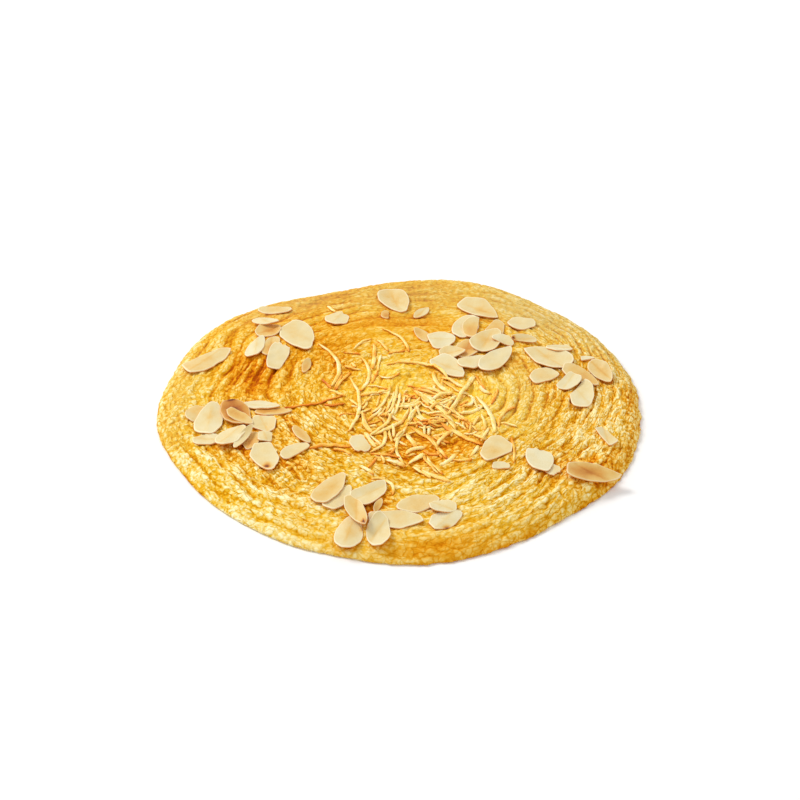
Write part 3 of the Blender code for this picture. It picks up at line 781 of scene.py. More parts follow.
# %% Cheese shreds
SHREDS = (
    (-37, 41, -30, 9, 6, 2.2, 0.1),
    (-17.5, 31, -17.8, 4, 4, 1.9, 0.15),
    (-12, 42, -12.2, 22, 0.5, 2.1, 0.35),
    (-8.5, 33, -9.8, 20, -0.5, 1.4, 0.2),
    (-10.5, 45, -5.3, 36, 0.6, 1.6, 0.3),
    (-8, 54, 4, 36, 2.8, 1.6, 0.25),
    (-6, 25, 22, 12, 8, 1.7, 0.2),
    (-25, 1, -50, -7.5, 2, 1.4, 0.9),
    (-33, -5.5, -24, -4.5, -1.8, 1.4, 0.9),
    (-22, 20, -28.5, 5, -0.5, 1.4, 0.5),
    (-13, 46, -21, 37, -1, 1.2, 0.1),
    (-31, 5, -24, 0.5, 0.3, 1.4, 0.3),
    (-22, -1, -17.5, -8.5, 0.2, 1.3, 0.3),
    (-14, 8, -5, 5, 0.6, 1.3, 0.3),
    (-18, 1.5, -10, 3.5, 0.3, 1.2, 0.35),
    (-9.5, 3, -3, 1, 0.3, 1.3, 0.1),
    (-10, 20, -12.5, 11, 0.3, 1.3, 0.7),
    (-25, 24, -17.5, 21.5, -0.3, 1.5, 0.2),
    (-21.5, 26.5, -20, 23.5, 0.2, 1.4, 0.0),
    (-25.5, 35, -18, 33.5, 0.3, 1.3, 0.8),
    (-34.5, 14, -30, 7, -0.3, 1.2, 0.8),
    (-34, 75, -30, 68.5, -0.3, 1.5, 0.1),
    (-4.5, 8, -12, -13, 2, 1.6, 0.15),
    (-1.2, 8, -6.3, -16, 1.2, 1.6, 0.15),
    (0, 3, -3, -15, 0.8, 1.4, 0.05),
    (1, 1, 3.5, -5, 1.5, 1.3, 0.2),
    (-0.5, -6.5, 9, -1, -2.6, 1.5, 0.15),
    (6, 6, 12.5, -8, 0.4, 1.8, 0.2),
    (5.5, 5.5, 19, -1, 0.8, 1.6, 0.35),
    (15, 20, 24, 1, -3, 2.2, 0.1),
    (18, 15, 30, 5, 0.6, 1.8, 0.15),
    (9, 7, 20, -0.5, 1, 1.8, 0.25),
    (25, 0, 20, -11, -0.5, 1.7, 0.1),
    (27.5, 0, 22.5, -13, -0.8, 1.7, 0.1),
    (31, -1, 26, -9.5, 2.5, 1.7, 0.05),
    (36, -7, 25, -14, 2, 1.9, 0.05),
    (35, 8, 40, 3, -1.5, 1.9, 0.1),
    (35, -14, 35.5, -26, 0.8, 1.6, 0.2),
    (38, -24, 34.5, -34, -0.3, 1.5, 0.1),
    (31, -29, 35.5, -33.5, 0.2, 1.8, 0.1),
    (13, -14, 23.5, -25, 2, 1.7, 0.15),
    (22, -15, 28.7, -25, 2, 1.5, 0.3),
    (8.5, -10, 2.5, -23, -0.6, 1.5, 0.2),
    (7, -15, 10.5, -20, -0.4, 1.3, 0.0),
    (-6, -8, -9.5, -16, 0.2, 1.3, 0.1),
    (-7.5, -10, -13.5, -18.5, -0.3, 1.5, 0.1),
    (-16, -12, -12, -27.5, -1.2, 2.4, 0.3),
    (-9, -16, -6, -20.5, 0.3, 1.2, 0.2),
    (-15, -27, -10, -38, -0.6, 2.0, 0.05),
    (-7, -25, -12.5, -42, 3, 1.9, 0.15),
    (-4.5, -24, -3, -33.5, -0.6, 1.3, 0.3),
    (3, -23, 2, -49.5, -4, 1.6, 0.1),
    (1, -25, -2, -33, -0.8, 1.3, 0.2),
    (-4.5, -46, -1, -49.5, -0.3, 2.2, 0.0),
    (3, -27, 7.5, -36.5, -0.5, 2.4, 0.25),
    (7.5, -22, 18, -23.5, 0.4, 1.8, 0.6),
    (9, -19.5, 20, -19.5, -0.8, 1.5, 0.45),
    (12, -17, 20, -20, 0.6, 1.4, 0.4),
    (22, -27, 15, -37, -0.8, 1.9, 0.3),
    (10, -39, 16.5, -42, -1, 1.6, 0.6),
    (10, -41, 16, -56, -1.2, 1.6, 0.5),
    (11.5, -43, 17.8, -56.5, -1.2, 1.4, 0.3),
    (33, -37, 29, -44.5, 0.4, 1.8, 0.2),
    (9, -53, 20.5, -62, -0.5, 2, 0.2),
    (5, -51, 12.5, -59, 0.3, 1.5, 0.3),
    (22, -46.5, 30, -47, -1, 1.5, 0.5),
    (47, -31, 47.2, -49, 0.6, 1.3, 0.5),
    (43, -20.5, 50, -23, 0.2, 1.4, 0.05),
    (-10, -45, -13, -52.5, 0.3, 1.3, 0.7),
    (-8, -44, -7, -49, 0.2, 1.2, 0.3),
    (-17, -51, -11, -57, 0.5, 1.6, 0.1),
    (-38, -39, -21, -38.5, 1.6, 1.8, 0.55),
    (-28, -39.5, -20.5, -44, 0.8, 1.4, 0.45),
    (-22, 15, -22, -27, 4.5, 1.8, 0.1),
    (8, 1, 24, -24, 1.2, 2.2, 0.2),
    (33, 0, 40.3, -28, 2, 2.4, 0),
    (4, -9, -12, -29, 3.6, 1.8, 0.2),
    (-2.5, -9, -13, -30, 2, 1.6, 0.15),
    (18, -22, 34.5, -36, -0.6, 2.4, 0.45),
    (4.5, -23, 19.5, -45.5, 1.8, 1.9, 0.4),
    (2.5, -42, 10.8, -36, 1.2, 2.1, 0),
    (3.5, -49, 10, -42.5, 0.6, 2.8, 0.05),
    (23, -42, 16.5, -50.5, 0.8, 2.2, 0),
    (33, 17, 26.5, -1, -0.6, 1.9, 0.15),
    (-12, -59, -3.2, -69.5, 4, 1.6, 0.2),
    (50, -8, 42, -24, -2.5, 1.5, 0.5),
    (-5.1, 34.6, 2.3, 36.6, 0.3, 1.2, 0.7),
    (-25.8, 17.7, -28.5, 6.0, -0.3, 1.2, 0.45),
    (-17.7, 0.2, -4.4, 3.5, 0.4, 1.3, 0.2),
    (-2.5, 4.1, -7.0, -13.4, 0.8, 1.2, 0.1),
    (1.9, 0.2, 0.0, -11.1, 0.5, 1.2, 0.15),
    (-0.5, -8.5, 9.0, -4.0, -2, 1.8, 0.05),
    (1.6, 1.2, 7.1, -1.7, 0.3, 1.1, 0.8),
    (2.2, -3.6, 6.5, 1.2, 0, 1.1, 0.7),
    (12.4, -11.1, 23.9, -4.3, 1.2, 1.7, 0.2),
    (20.4, -16.7, 33.5, 15.7, 0.5, 1.8, 0.1),
    (18.5, 11.6, 26.8, 2.9, 0.2, 1.2, 0.4),
    (33.9, 17.2, 37.0, 5.5, -0.3, 1.3, 0.6),
    (43.0, 6.0, 39.6, -5.9, 0.3, 1.3, 0.6),
    (7.0, -14.8, 18.2, -20.5, -1.2, 1.4, 0.15),
    (-9.5, 17.5, -0.3, 17.0, -4.2, 1.2, 0.35),
    (3.0, -20.5, 10.1, -23.0, 0.5, 1.4, 0.05),
    (4.6, -15.2, 9.6, -5.4, 0.4, 1.3, 0.05),
    (7.1, -8.4, 10.4, -17.0, -0.8, 1.4, 0.1),
    (12.4, -5.3, 23.5, 1.8, 2.0, 1.9, 0.1),
    (8.7, -5.3, 23.2, -20.6, -0.8, 1.4, 0.1),
    (8.8, 3.0, 15.5, -6.8, 0.6, 1.8, 0.15),
    (21.0, -10.0, 28.1, -21.6, 0.6, 1.3, 0.2),
    (-3.4, -21.6, -2.7, -30.0, 0.3, 1.5, 0.1),
    (1.2, -25.8, -1.5, -31.0, -0.3, 1.4, 0.2),
    (12.2, -29.4, 16.7, -41.4, 0.3, 1.4, 0.4),
    (-5.5, -47.0, 2.3, -50.5, -0.8, 2.4, 0.05),
    (-13.2, -29.4, -7.9, -37.0, 0.3, 1.2, 0.1),
    (-12.0, -42.7, 0.0, -44.9, 0.3, 1.5, 0.6),
    (7.7, 3.1, 15.7, -7.3, 0.4, 1.6, 0.1),
    (4.3, -7.3, 3.2, -20.3, 0.8, 1.4, 0.2),
    (16.2, -7.3, 23.6, -14.8, 0.6, 1.3, 0.3),
    (8.6, -12.0, 18.2, -16.7, 0.5, 1.3, 0.1),
    (-12.5, 0.2, -16.8, -7.3, 0.3, 1.2, 0.4),
    (-8.7, 1.2, -10.3, -7.3, 0.3, 1.1, 0.3),
    (-18.5, -14.8, -12.4, -9.2, 0.2, 1.2, 0.3),
    (29.5, 1.2, 34.0, -11.1, 0.6, 1.2, 0.1),
    (26.2, -19.4, 32.9, -26.7, 0.3, 1.5, 0.5),
    (30.4, -20.3, 29.1, -28.5, 0.2, 1.2, 0.5),
    (-2.1, -38.3, -4.7, -43.6, 0.3, 1.3, 0.5),
    (2.6, -43.6, 6.8, -40.9, 0.2, 1.2, 0.6),
)
print("cheese shreds:", len(SHREDS))

# %% [markdown]
# A topping must neither float nor sink. We keep a raster of heights of what already lies on the cookie. Each new
# piece reads the heights under it, settles there, and raises the raster for the next one.

# %% Bed of heights


class Bed:
    """Heights of what already lies on the cookie, on a fine raster."""

    STEP = 0.8
    HALF = 110

    def __init__(self):
        line = np.arange(-self.HALF, self.HALF + self.STEP, self.STEP)
        self.x, self.y = np.meshgrid(line, line, indexing="ij")
        self.top = crust_shape(self.x, self.y)[0]
        self.top[coil_share(self.x, self.y) > 1] = 0

    def cell(self, x, y):
        """Raster indices of places."""
        last = len(self.top) - 1
        column = np.clip(np.rint((np.asarray(x) + self.HALF) / self.STEP).astype(int), 0, last)
        row = np.clip(np.rint((np.asarray(y) + self.HALF) / self.STEP).astype(int), 0, last)
        return column, row

    def height(self, x, y):
        return self.top[self.cell(x, y)]

    def raise_to(self, x, y, height):
        np.maximum.at(self.top, self.cell(x, y), height)


bed = Bed()
bare_crust = bed.top.copy()
print("bed cells:", bed.top.size)

# %% [markdown]
# A flaked almond is a slice less than a millimetre thick. One round slice is modelled as by hand: a filled circle
# is inset four times so that it can bend, given its thickness by Solidify and soft edges by Bevel. Each copy is
# then drawn out to its own outline, because every one broke differently, folded a little, and laid down.

# %% Outlines of the slices
FLAKE_THICKNESS = 0.85
FLAKE_SINK = 0.3
HELD_SHARE = 0.965
SLICE_RADIUS = 6.0
SLICE_POINTS = 48
RIM_POINTS = 160
# Shapes: how an almond tapers to its tip, how blunt a sliver's ends are, and where a half or a piece broke off
TIP_TAPER, TIP_POINT = 0.32, 0.1
SLIVER_POWER = 0.5
HALF_CUT = -0.22
BROKEN_CUT, BROKEN_WAVE, BROKEN_JAGS = 0.3, 0.05, 0.03
# Wear of the rim, and the small breaks that every flake has
WEAR, FINE_WEAR = 0.05, 0.012
SMALL_BREAKS = 2
SMALL_BREAK_OUT = (0.86, 0.98)


def flake_rim(number):
    """Directions and distances of a flake's rim in its own frame, where its long side lies along X."""
    _, _, length, width, turn, kind, *_ = FLAKES[number]
    draw = random.Random(500 + number)
    around = np.linspace(0, 2 * math.pi, RIM_POINTS, endpoint=False)
    along = 0.5 * np.cos(around)
    across = 0.5 * np.sin(around)
    if kind == "whole":
        across = across * (1 - TIP_TAPER * np.cos(around) - TIP_POINT * np.cos(around) ** 4)
    if kind == "half":
        across = np.maximum(across, HALF_CUT)
    if kind == "broken":
        jagged = BROKEN_WAVE * np.sin(3 * around) + BROKEN_JAGS * np.sin(11 * around)
        along = np.minimum(along, BROKEN_CUT + jagged)
    if kind == "sliver":
        across = across * np.abs(np.sin(around)) ** SLIVER_POWER
    along = along * length
    across = across * width
    worn = 1 + WEAR * noise_values(2 * np.cos(around), 2 * np.sin(around), 0 * around + 7.0 * number)
    worn = worn + FINE_WEAR * noise_values(9 * np.cos(around), 9 * np.sin(around), 0 * around + 5.0 * number)
    along = along * worn
    across = across * worn
    small = [(draw.uniform(0, 360), draw.uniform(*SMALL_BREAK_OUT)) for _ in range(SMALL_BREAKS)]
    for direction, share in (*BREAKS.get(number, ()), *small):
        facing = math.radians(direction - turn)
        out = along * math.cos(facing) + across * math.sin(facing)
        cut = np.minimum(share * out.max() / np.maximum(out, 0.01), 1)
        along = along * cut
        across = across * cut
    directions = np.arctan2(across, along)
    order = np.argsort(directions)
    return directions[order], np.hypot(along, across)[order]


def flake_places(number, share, direction):
    """Places in a flake's own frame, for shares of the way from its middle to its rim."""
    directions, distances = flake_rim(number)
    reach = share * np.interp(direction, directions, distances, period=2 * math.pi)
    return reach * np.cos(direction), reach * np.sin(direction)


print("longest way out in flake 0:", flake_rim(0)[1].max().round(1), "mm")

# %% Model one round slice
SLICE_INSETS = (0.4, 0.7, 1.2, 1.5)
SOFT_WIDTH = 0.22
SOFT_ANGLE = math.radians(50)

deselect()
bpy.ops.mesh.primitive_circle_add(vertices=SLICE_POINTS, radius=SLICE_RADIUS * MM, fill_type="NGON")
slice_ = bpy.context.object
slice_.name = "slice"
bpy.ops.object.mode_set(mode="EDIT")
bpy.ops.mesh.select_all(action="SELECT")
for inset in SLICE_INSETS:
    bpy.ops.mesh.inset(thickness=inset * MM, use_even_offset=False)
bpy.ops.mesh.poke()
bpy.ops.object.mode_set(mode="OBJECT")
walls = slice_.modifiers.new("walls", "SOLIDIFY")
walls.thickness = FLAKE_THICKNESS * MM
walls.offset = 1
soft = slice_.modifiers.new("soft edges", "BEVEL")
soft.width = SOFT_WIDTH * MM
soft.segments = 2
soft.limit_method = "ANGLE"
soft.angle_limit = SOFT_ANGLE
for modifier in (walls, soft):
    bpy.ops.object.modifier_apply(modifier=modifier.name)
print("slice faces:", len(slice_.data.polygons))

# %% Rest a flake on what lies under it
HIGH_SPOT = 99
CURL_ACROSS, CURL_SINK = 0.3, 0.2
PROBE_SHARES = (0.06, 0.97, 9)
PROBE_DIRECTIONS = 32


def flake_rise(curl, along, across):
    """Rise of a flake over its plane: both ends curl up."""
    return curl * ((2 * along) ** 2 + CURL_ACROSS * (2 * across) ** 2) - CURL_SINK * curl


def rest_flake(number):
    """Settle a flake: a plane through the heights under it, lifted onto their high spots."""
    x, y, length, width, turn, _, curl, lean, _ = FLAKES[number]
    direction = np.linspace(0, 2 * math.pi, PROBE_DIRECTIONS, endpoint=False)
    share, direction = (part.ravel() for part in np.meshgrid(np.linspace(*PROBE_SHARES), direction))
    along, across = flake_places(number, share, direction)
    turned = math.radians(turn)
    place_x = x + along * math.cos(turned) - across * math.sin(turned)
    place_y = y + along * math.sin(turned) + across * math.cos(turned)
    heights = bed.height(place_x, place_y)
    terms = np.stack([np.ones_like(along), along, across], axis=1)
    held = coil_share(place_x, place_y) < HELD_SHARE
    level, slope_along, slope_across = np.linalg.lstsq(terms[held], heights[held], rcond=None)[0]
    high_spots = np.percentile((heights - terms @ (level, slope_along, slope_across))[held], HIGH_SPOT)
    base = level + high_spots - FLAKE_SINK + math.sin(math.radians(abs(lean))) * width / 2
    pose = (
        Matrix.Translation((x, y, base))
        @ Matrix.Rotation(turned, 4, "Z")
        @ Matrix.Rotation(-math.atan(slope_along), 4, "Y")
        @ Matrix.Rotation(math.atan(slope_across) + math.radians(lean), 4, "X")
    )
    tops = base + along * slope_along + across * slope_across + FLAKE_THICKNESS
    bed.raise_to(place_x, place_y, tops + flake_rise(curl, along / length, across / width))
    return pose


print("crust under the first flake:", round(float(bed.height(*FLAKES[0][:2])), 1), "mm high")

# %% [markdown]
# A copy of the slice becomes a flake: its round is drawn out to the flake's own outline, its ends curl, some fold
# along a line, and it is laid down. The flake also notes where it toasted or lies under a painted shadow spot,
# where its rim and its underside are, and a tint of its own, for the material.

# %% Bend and lay the flakes
TWIST = 0.8
WARP, WARP_LENGTH = 0.2, 4
FOLDS = (0, 0, 0.1, -0.1, 0.16)
MOST_FOLD_TURN = 0.5
CREASE_WIDTH = 0.5
TOAST_SHIFT = 0.4
LEAST_TOAST, MIDDLE_TOAST = 0.5, 0.6


def lay_flake(number):
    """A copy of the slice, drawn out to its outline, folded a little, bent and laid down."""
    _, _, length, width, _, _, curl, _, toast = FLAKES[number]
    laid = slice_.copy()
    laid.data = slice_.data.copy()
    laid.name = f"flake_{number}"
    bpy.context.scene.collection.objects.link(laid)
    places = points_of(laid)
    share = np.hypot(places[:, 0], places[:, 1]) / SLICE_RADIUS
    x, y = flake_places(number, share, np.arctan2(places[:, 1], places[:, 0]))
    draw = random.Random(number)
    along = x / length
    across = y / width
    twist = draw.uniform(-TWIST, TWIST)
    z = places[:, 2] + flake_rise(curl, along, across) + twist * 4 * along * across
    z = z + WARP * noise_values(x / WARP_LENGTH, y / WARP_LENGTH, 0 * x + 3.0 * number)
    fold_turn = draw.uniform(-MOST_FOLD_TURN, MOST_FOLD_TURN)
    fold = draw.choice(FOLDS)
    from_fold = np.abs(y * math.cos(fold_turn) - x * math.sin(fold_turn))
    z = z + fold * (from_fold - width / 4)
    pose = np.array(rest_flake(number))
    local = np.stack([x, y, z, np.ones_like(x)], axis=1)
    laid_at = (local @ pose.T)[:, :3]
    move_points(laid, laid_at)
    shift = draw.uniform(-TOAST_SHIFT, TOAST_SHIFT)
    clouded = np.exp(-((2 * along - shift) ** 2) / 0.5 - (2 * across) ** 2 / 0.6)
    browned_and_shaded = toast * (LEAST_TOAST + MIDDLE_TOAST * clouded)
    # Dark spots: some browned, and the one at (-73.5, -2) a painted shadow at the top of a flake
    for spot_x, spot_y, spot_width in DARK_AND_SHADOW_SPOTS:
        away = np.hypot(laid_at[:, 0] - spot_x, laid_at[:, 1] - spot_y)
        browned_and_shaded = browned_and_shaded + np.exp(-((away / spot_width) ** 2))
    note(laid, "toast", browned_and_shaded)
    note(laid, "rim", share)
    note(laid, "under", 1 - places[:, 2] / FLAKE_THICKNESS)
    note(laid, "crease", np.exp(-((from_fold / CREASE_WIDTH) ** 2)) * (fold != 0))
    note(laid, "tint", np.full(len(x), draw.uniform(0, 1)))
    return laid


laid_flakes = [lay_flake(number) for number in range(len(FLAKES))]
print("highest flake:", round(float(bed.top.max()), 1), "mm over the table")

# %% Join the almonds


def join(pieces, name):
    """Make one piece of many, smooth, with its place in its mesh."""
    deselect()
    for piece in pieces:
        piece.select_set(True)
    bpy.context.view_layer.objects.active = pieces[0]
    bpy.ops.object.join()
    joined = bpy.context.object
    joined.name = name
    joined.data.name = name
    bpy.ops.object.transform_apply(location=True, rotation=True, scale=True)
    bpy.ops.object.shade_smooth()
    return joined


def triangle_count(piece):
    piece.data.calc_loop_triangles()
    return len(piece.data.loop_triangles)


almonds = join(laid_flakes, "almond_flakes")
bpy.data.objects.remove(slice_)
print("almond triangles:", triangle_count(almonds))

# %% [markdown]
# A shred is a flat strip with rounded edges. One straight strand is modelled from a cylinder whose long edges are
# subdivided, and each copy is bent along its route: it rides over whatever lies under it, sags between, turns a
# little about its own length, and narrows at both ends.

# %% Model one straight strand
STRAND_SIDES = 8
STRAND_CUTS = 27

deselect()
bpy.ops.mesh.primitive_cylinder_add(
    vertices=STRAND_SIDES, radius=0.5 * MM, depth=MM, end_fill_type="TRIFAN", rotation=(0, math.pi / 2, 0)
)
strand = bpy.context.object
strand.name = "strand"
bpy.ops.object.transform_apply(location=True, rotation=True, scale=True)
bpy.ops.object.mode_set(mode="EDIT")
bpy.ops.mesh.select_mode(type="EDGE")
bpy.ops.mesh.select_all(action="DESELECT")
bpy.ops.object.mode_set(mode="OBJECT")
for edge in strand.data.edges:
    first, second = (strand.data.vertices[index].co for index in edge.vertices)
    edge.select = abs(first.x - second.x) > 0.5 * MM
bpy.ops.object.mode_set(mode="EDIT")
bpy.ops.mesh.subdivide(number_cuts=STRAND_CUTS)
bpy.ops.object.mode_set(mode="OBJECT")
print("strand faces:", len(strand.data.polygons))

# %% Route of a shred
SHRED_SINK = 0.2
RIDE_REACH = 1.6
RIDE_SHARE = 0.6


def shred_route(shred, share):
    """Places along a shred, which bows sideways between its two ends."""
    start_x, start_y, end_x, end_y, bow, _, _ = shred
    length = math.hypot(end_x - start_x, end_y - start_y)
    arch = 4 * bow * share * (1 - share)
    x = start_x + (end_x - start_x) * share - arch * (end_y - start_y) / length
    y = start_y + (end_y - start_y) * share + arch * (end_x - start_x) / length
    return x, y


def settle(x, y, share, length, lift):
    """Heights of a strand that rides over high spots and spans the hollows between them."""
    heights = bed.height(x, y)
    reach = max(1, round(RIDE_REACH / max(length / len(share), 0.1)))
    ridden = np.array([heights[max(0, spot - reach): spot + reach + 1].max() for spot in range(len(share))])
    kernel = np.hanning(2 * reach + 3)
    smooth = np.convolve(np.pad(ridden, reach + 1, mode="edge"), kernel / kernel.sum(), mode="valid")
    return RIDE_SHARE * smooth + (1 - RIDE_SHARE) * heights - SHRED_SINK + lift * np.sin(math.pi * share)


print("first shred starts at", [round(float(part[0]), 1) for part in shred_route(SHREDS[0], np.zeros(1))])

# %% Bend a strand along its route
SHRED_SLIMNESS = 0.86
SHRED_FLATNESS = 0.66
MOST_THICK = 1.5
FILLED_SHARE = 0.75
ROUTE_POINTS = 80
SWAY, SWAY_LENGTH = 0.35, 7
MOST_LIFT = 0.35
END_TAPER, TAPER_POWER = 0.65, 7
UNEVENNESS, UNEVEN_LENGTH = 0.14, 4
CORNER_POWER = 0.6
LEAN_EACH, TWIST_EACH = 0.4, 1.2
MOTTLE, MOTTLE_LENGTH = 0.35, 6
END_TOAST = 0.25


def squared(across):
    """Widens a round section towards a square with rounded corners. Runs from -0.5 to 0.5."""
    return np.sign(across) * np.abs(2 * across) ** CORNER_POWER / 2


def lay_shred(number, shred):
    """A copy of the strand, bent along its route and laid on the bed."""
    start_x, start_y, end_x, end_y, _, width, toast = shred
    width = width * SHRED_SLIMNESS
    draw = random.Random(1000 + number)
    laid = strand.copy()
    laid.data = strand.data.copy()
    laid.name = f"shred_{number}"
    bpy.context.scene.collection.objects.link(laid)
    places = points_of(laid)
    length = math.hypot(end_x - start_x, end_y - start_y)
    fine = np.linspace(0, 1, ROUTE_POINTS)
    route_x, route_y = shred_route(shred, fine)
    sideways = SWAY * noise_values(fine * length / SWAY_LENGTH, 0 * fine + 5.0 * number, 0 * fine)
    way_x = np.gradient(route_x)
    way_y = np.gradient(route_y)
    pace = np.hypot(way_x, way_y)
    route_x = route_x - sideways * way_y / pace
    route_y = route_y + sideways * way_x / pace
    thick = min(width, MOST_THICK) * SHRED_FLATNESS
    route_z = settle(route_x, route_y, fine, length, draw.uniform(0, MOST_LIFT))
    bed.raise_to(route_x, route_y, route_z + FILLED_SHARE * thick)
    share = np.clip(places[:, 0] + 0.5, 0, 1)
    uneven = 1 + UNEVENNESS * noise_values(share * length / UNEVEN_LENGTH, 0 * share, 0 * share + number)
    taper = (1 - np.abs(2 * share - 1) ** TAPER_POWER * END_TAPER) * uneven
    turn = draw.uniform(-LEAN_EACH, LEAN_EACH) + draw.uniform(-TWIST_EACH, TWIST_EACH) * (share - 0.5)
    side = squared(places[:, 1]) * width * taper
    up = squared(places[:, 2]) * thick * taper
    out = side * np.cos(turn) - up * np.sin(turn)
    rise = side * np.sin(turn) + up * np.cos(turn)
    heading_x = np.interp(share, fine, way_x / pace)
    heading_y = np.interp(share, fine, way_y / pace)
    x = np.interp(share, fine, route_x) - out * heading_y
    y = np.interp(share, fine, route_y) + out * heading_x
    z = np.interp(share, fine, route_z) + 0.5 * thick + rise
    move_points(laid, np.stack([x, y, z], axis=1))
    mottled = MOTTLE * noise_values(share * length / MOTTLE_LENGTH, 0 * share + number, 0 * share + 2.0)
    note(laid, "toast", np.clip(toast + mottled + END_TOAST * np.abs(2 * share - 1) ** 3, 0, 1))
    note(laid, "upper", np.clip(0.5 + rise / (thick + 0.01), 0, 1))
    note(laid, "middle", 1 - np.abs(2 * places[:, 1]))
    return laid


# %% Lay the shreds, and small bits between them
BIT_COUNT = 60
BIT_SEED = 77
BIT_X, BIT_SPREAD_X = 8, 15
BIT_Y, BIT_SPREAD_Y = -14, 17
BIT_LIMIT = 2.0
BIT_LENGTHS = (3.5, 9)
BIT_BOWS = (-1, 1)
BIT_WIDTHS = (0.9, 1.5)
BIT_TOASTS = (0.0, 0.1, 0.3, 0.6)


def small_bits():
    """Short ends of cheese that fell between the long shreds, over an oval round the middle."""
    draw = random.Random(BIT_SEED)
    bits = []
    while len(bits) < BIT_COUNT:
        x = draw.gauss(BIT_X, BIT_SPREAD_X)
        y = draw.gauss(BIT_Y, BIT_SPREAD_Y)
        if math.hypot((x - BIT_X) / BIT_SPREAD_X, (y - BIT_Y) / BIT_SPREAD_Y) > BIT_LIMIT:
            continue
        turn = draw.uniform(0, math.tau)
        length = draw.uniform(*BIT_LENGTHS)
        end_x = x + length * math.cos(turn)
        end_y = y + length * math.sin(turn)
        toast = draw.choice(BIT_TOASTS)
        bits.append((x, y, end_x, end_y, draw.uniform(*BIT_BOWS), draw.uniform(*BIT_WIDTHS), toast))
    return bits


laid_shreds = [lay_shred(number, shred) for number, shred in enumerate(small_bits() + list(SHREDS))]
cheese = join(laid_shreds, "cheese_shreds")
bpy.data.objects.remove(strand)
print("cheese triangles:", triangle_count(cheese))

# %% [markdown]
# The crust close round the toppings is painted a warmer orange as shade, so that their shadows look warm. The bed
# knows
# where something lies: those cells are marked, the mark is spread a little, and each point of the crust notes it.

# %% Painted warm shade round the toppings
COVERED_FROM = 0.3
SPREAD_ROUNDS = 3

halo = (bed.top - bare_crust > COVERED_FROM).astype(float)
for _ in range(SPREAD_ROUNDS):
    beside = [np.roll(halo, step, axis) for step in (-1, 1) for axis in (0, 1)]
    halo = (halo + sum(beside)) / 5
points = points_of(pastry)
note(pastry, "halo", halo[bed.cell(points[:, 0], points[:, 1])])
print("browned share of the crust:", round(float(halo.mean()), 3))

# %% [markdown]
# Node trees read better as sums. A small class stands for a socket: adding or multiplying two of them adds the
# Math node, and one method makes any other node.

# %% Shader helpers


class Wire:
    """A socket of a finish. Sums and products of wires and numbers become Math nodes."""

    def __init__(self, finish, socket):
        self.finish = finish
        self.socket = socket

    def maths(self, operation, first, second):
        return self.finish.node("Math", {"operation": operation}, {0: first, 1: second})

    def __add__(self, other):
        return self.maths("ADD", self, other)

    def __radd__(self, other):
        return self.maths("ADD", other, self)

    def __sub__(self, other):
        return self.maths("SUBTRACT", self, other)

    def __rsub__(self, other):
        return self.maths("SUBTRACT", other, self)

    def __mul__(self, other):
        return self.maths("MULTIPLY", self, other)

    def __rmul__(self, other):
        return self.maths("MULTIPLY", other, self)


class Finish:
    """A material being built round its Principled shader."""

    def __init__(self, name):
        self.material = bpy.data.materials.new(name)
        self.material.use_nodes = True
        self.tree = self.material.node_tree
        self.shader = self.tree.nodes["Principled BSDF"]

    def feed(self, socket, value):
        if isinstance(value, Wire):
            self.tree.links.new(value.socket, socket)
        else:
            socket.default_value = value

    def node(self, kind, settings=None, inputs=None, output=0):
        """Any node: its type, then its settings, then the values or wires of its sockets."""
        made = self.tree.nodes.new("ShaderNode" + kind)
        for name, value in (settings or {}).items():
            if name == "stops":
                ramp = made.color_ramp
                while len(ramp.elements) < len(value):
                    ramp.elements.new(0.5)
                for element, (place, color) in zip(ramp.elements, value):
                    element.position = place
                    element.color = color
            else:
                setattr(made, name, value)
        for name, value in (inputs or {}).items():
            self.feed(made.inputs[name], value)
        return Wire(self, made.outputs[output])

    def set(self, **values):
        """Sockets of the shader, by name with _ for a space."""
        for name, value in values.items():
            self.feed(self.shader.inputs[name.replace("_", " ")], value)

    def place(self):
        """Object coordinates in millimetres."""
        place = self.node("TexCoord", output=3)
        scale = {0: place, 1: (1000, 1000, 1000)}
        return self.node("VectorMath", {"operation": "MULTIPLY"}, scale)

    def noted(self, name):
        """A number that the mesh keeps for each point."""
        return self.node("Attribute", {"attribute_name": name}, output=2)

    def speckle(self, vector, size, detail=2.0, roughness=0.5):
        """Noise from 0 to 1 with spots of a size in millimetres."""
        inputs = {"Vector": vector, "Scale": 1 / size, "Detail": detail, "Roughness": roughness}
        return self.node("TexNoise", {}, inputs)

    def soft_step(self, value, low, high, first=0.0, last=1.0):
        """Runs softly from a first to a last number while the value goes from low to high."""
        limits = {0: value, 1: low, 2: high, 3: first, 4: last}
        return self.node("MapRange", {"interpolation_type": "SMOOTHSTEP"}, limits)

    def grains(self, vector, size, width):
        """Tops of height 1 with narrow valleys between them, along the middle line of a noise."""
        middle = self.speckle(vector, size, detail=1) - 0.5
        away = self.node("Math", {"operation": "ABSOLUTE"}, {0: middle})
        return self.soft_step(away, -0.01, width)

    def valley(self, line, pitch, width):
        """Height 1 in the valleys that lie a pitch apart along a line in millimetres, and 0 between them."""
        away = self.node("Math", {"operation": "PINGPONG"}, {0: line, 1: pitch / 2})
        return self.soft_step(away, 0.0, width, 1.0, 0.0)

    def ramp(self, value, stops):
        """A colour ramp from its stops, each a place from 0 to 1 and a colour."""
        return self.node("ValToRGB", {"stops": stops}, {0: value})

    def blend(self, share, first, second):
        """Two colours mixed: a share of 0 gives the first and 1 the second."""
        return self.node("Mix", {"data_type": "RGBA"}, {0: share, 6: first, 7: second}, output=2)

    def bumps(self, height, strength, depth):
        """Bumps that only the light sees, with a depth in millimetres."""
        return self.node("Bump", {}, {"Strength": strength, "Distance": depth * MM, "Height": height})


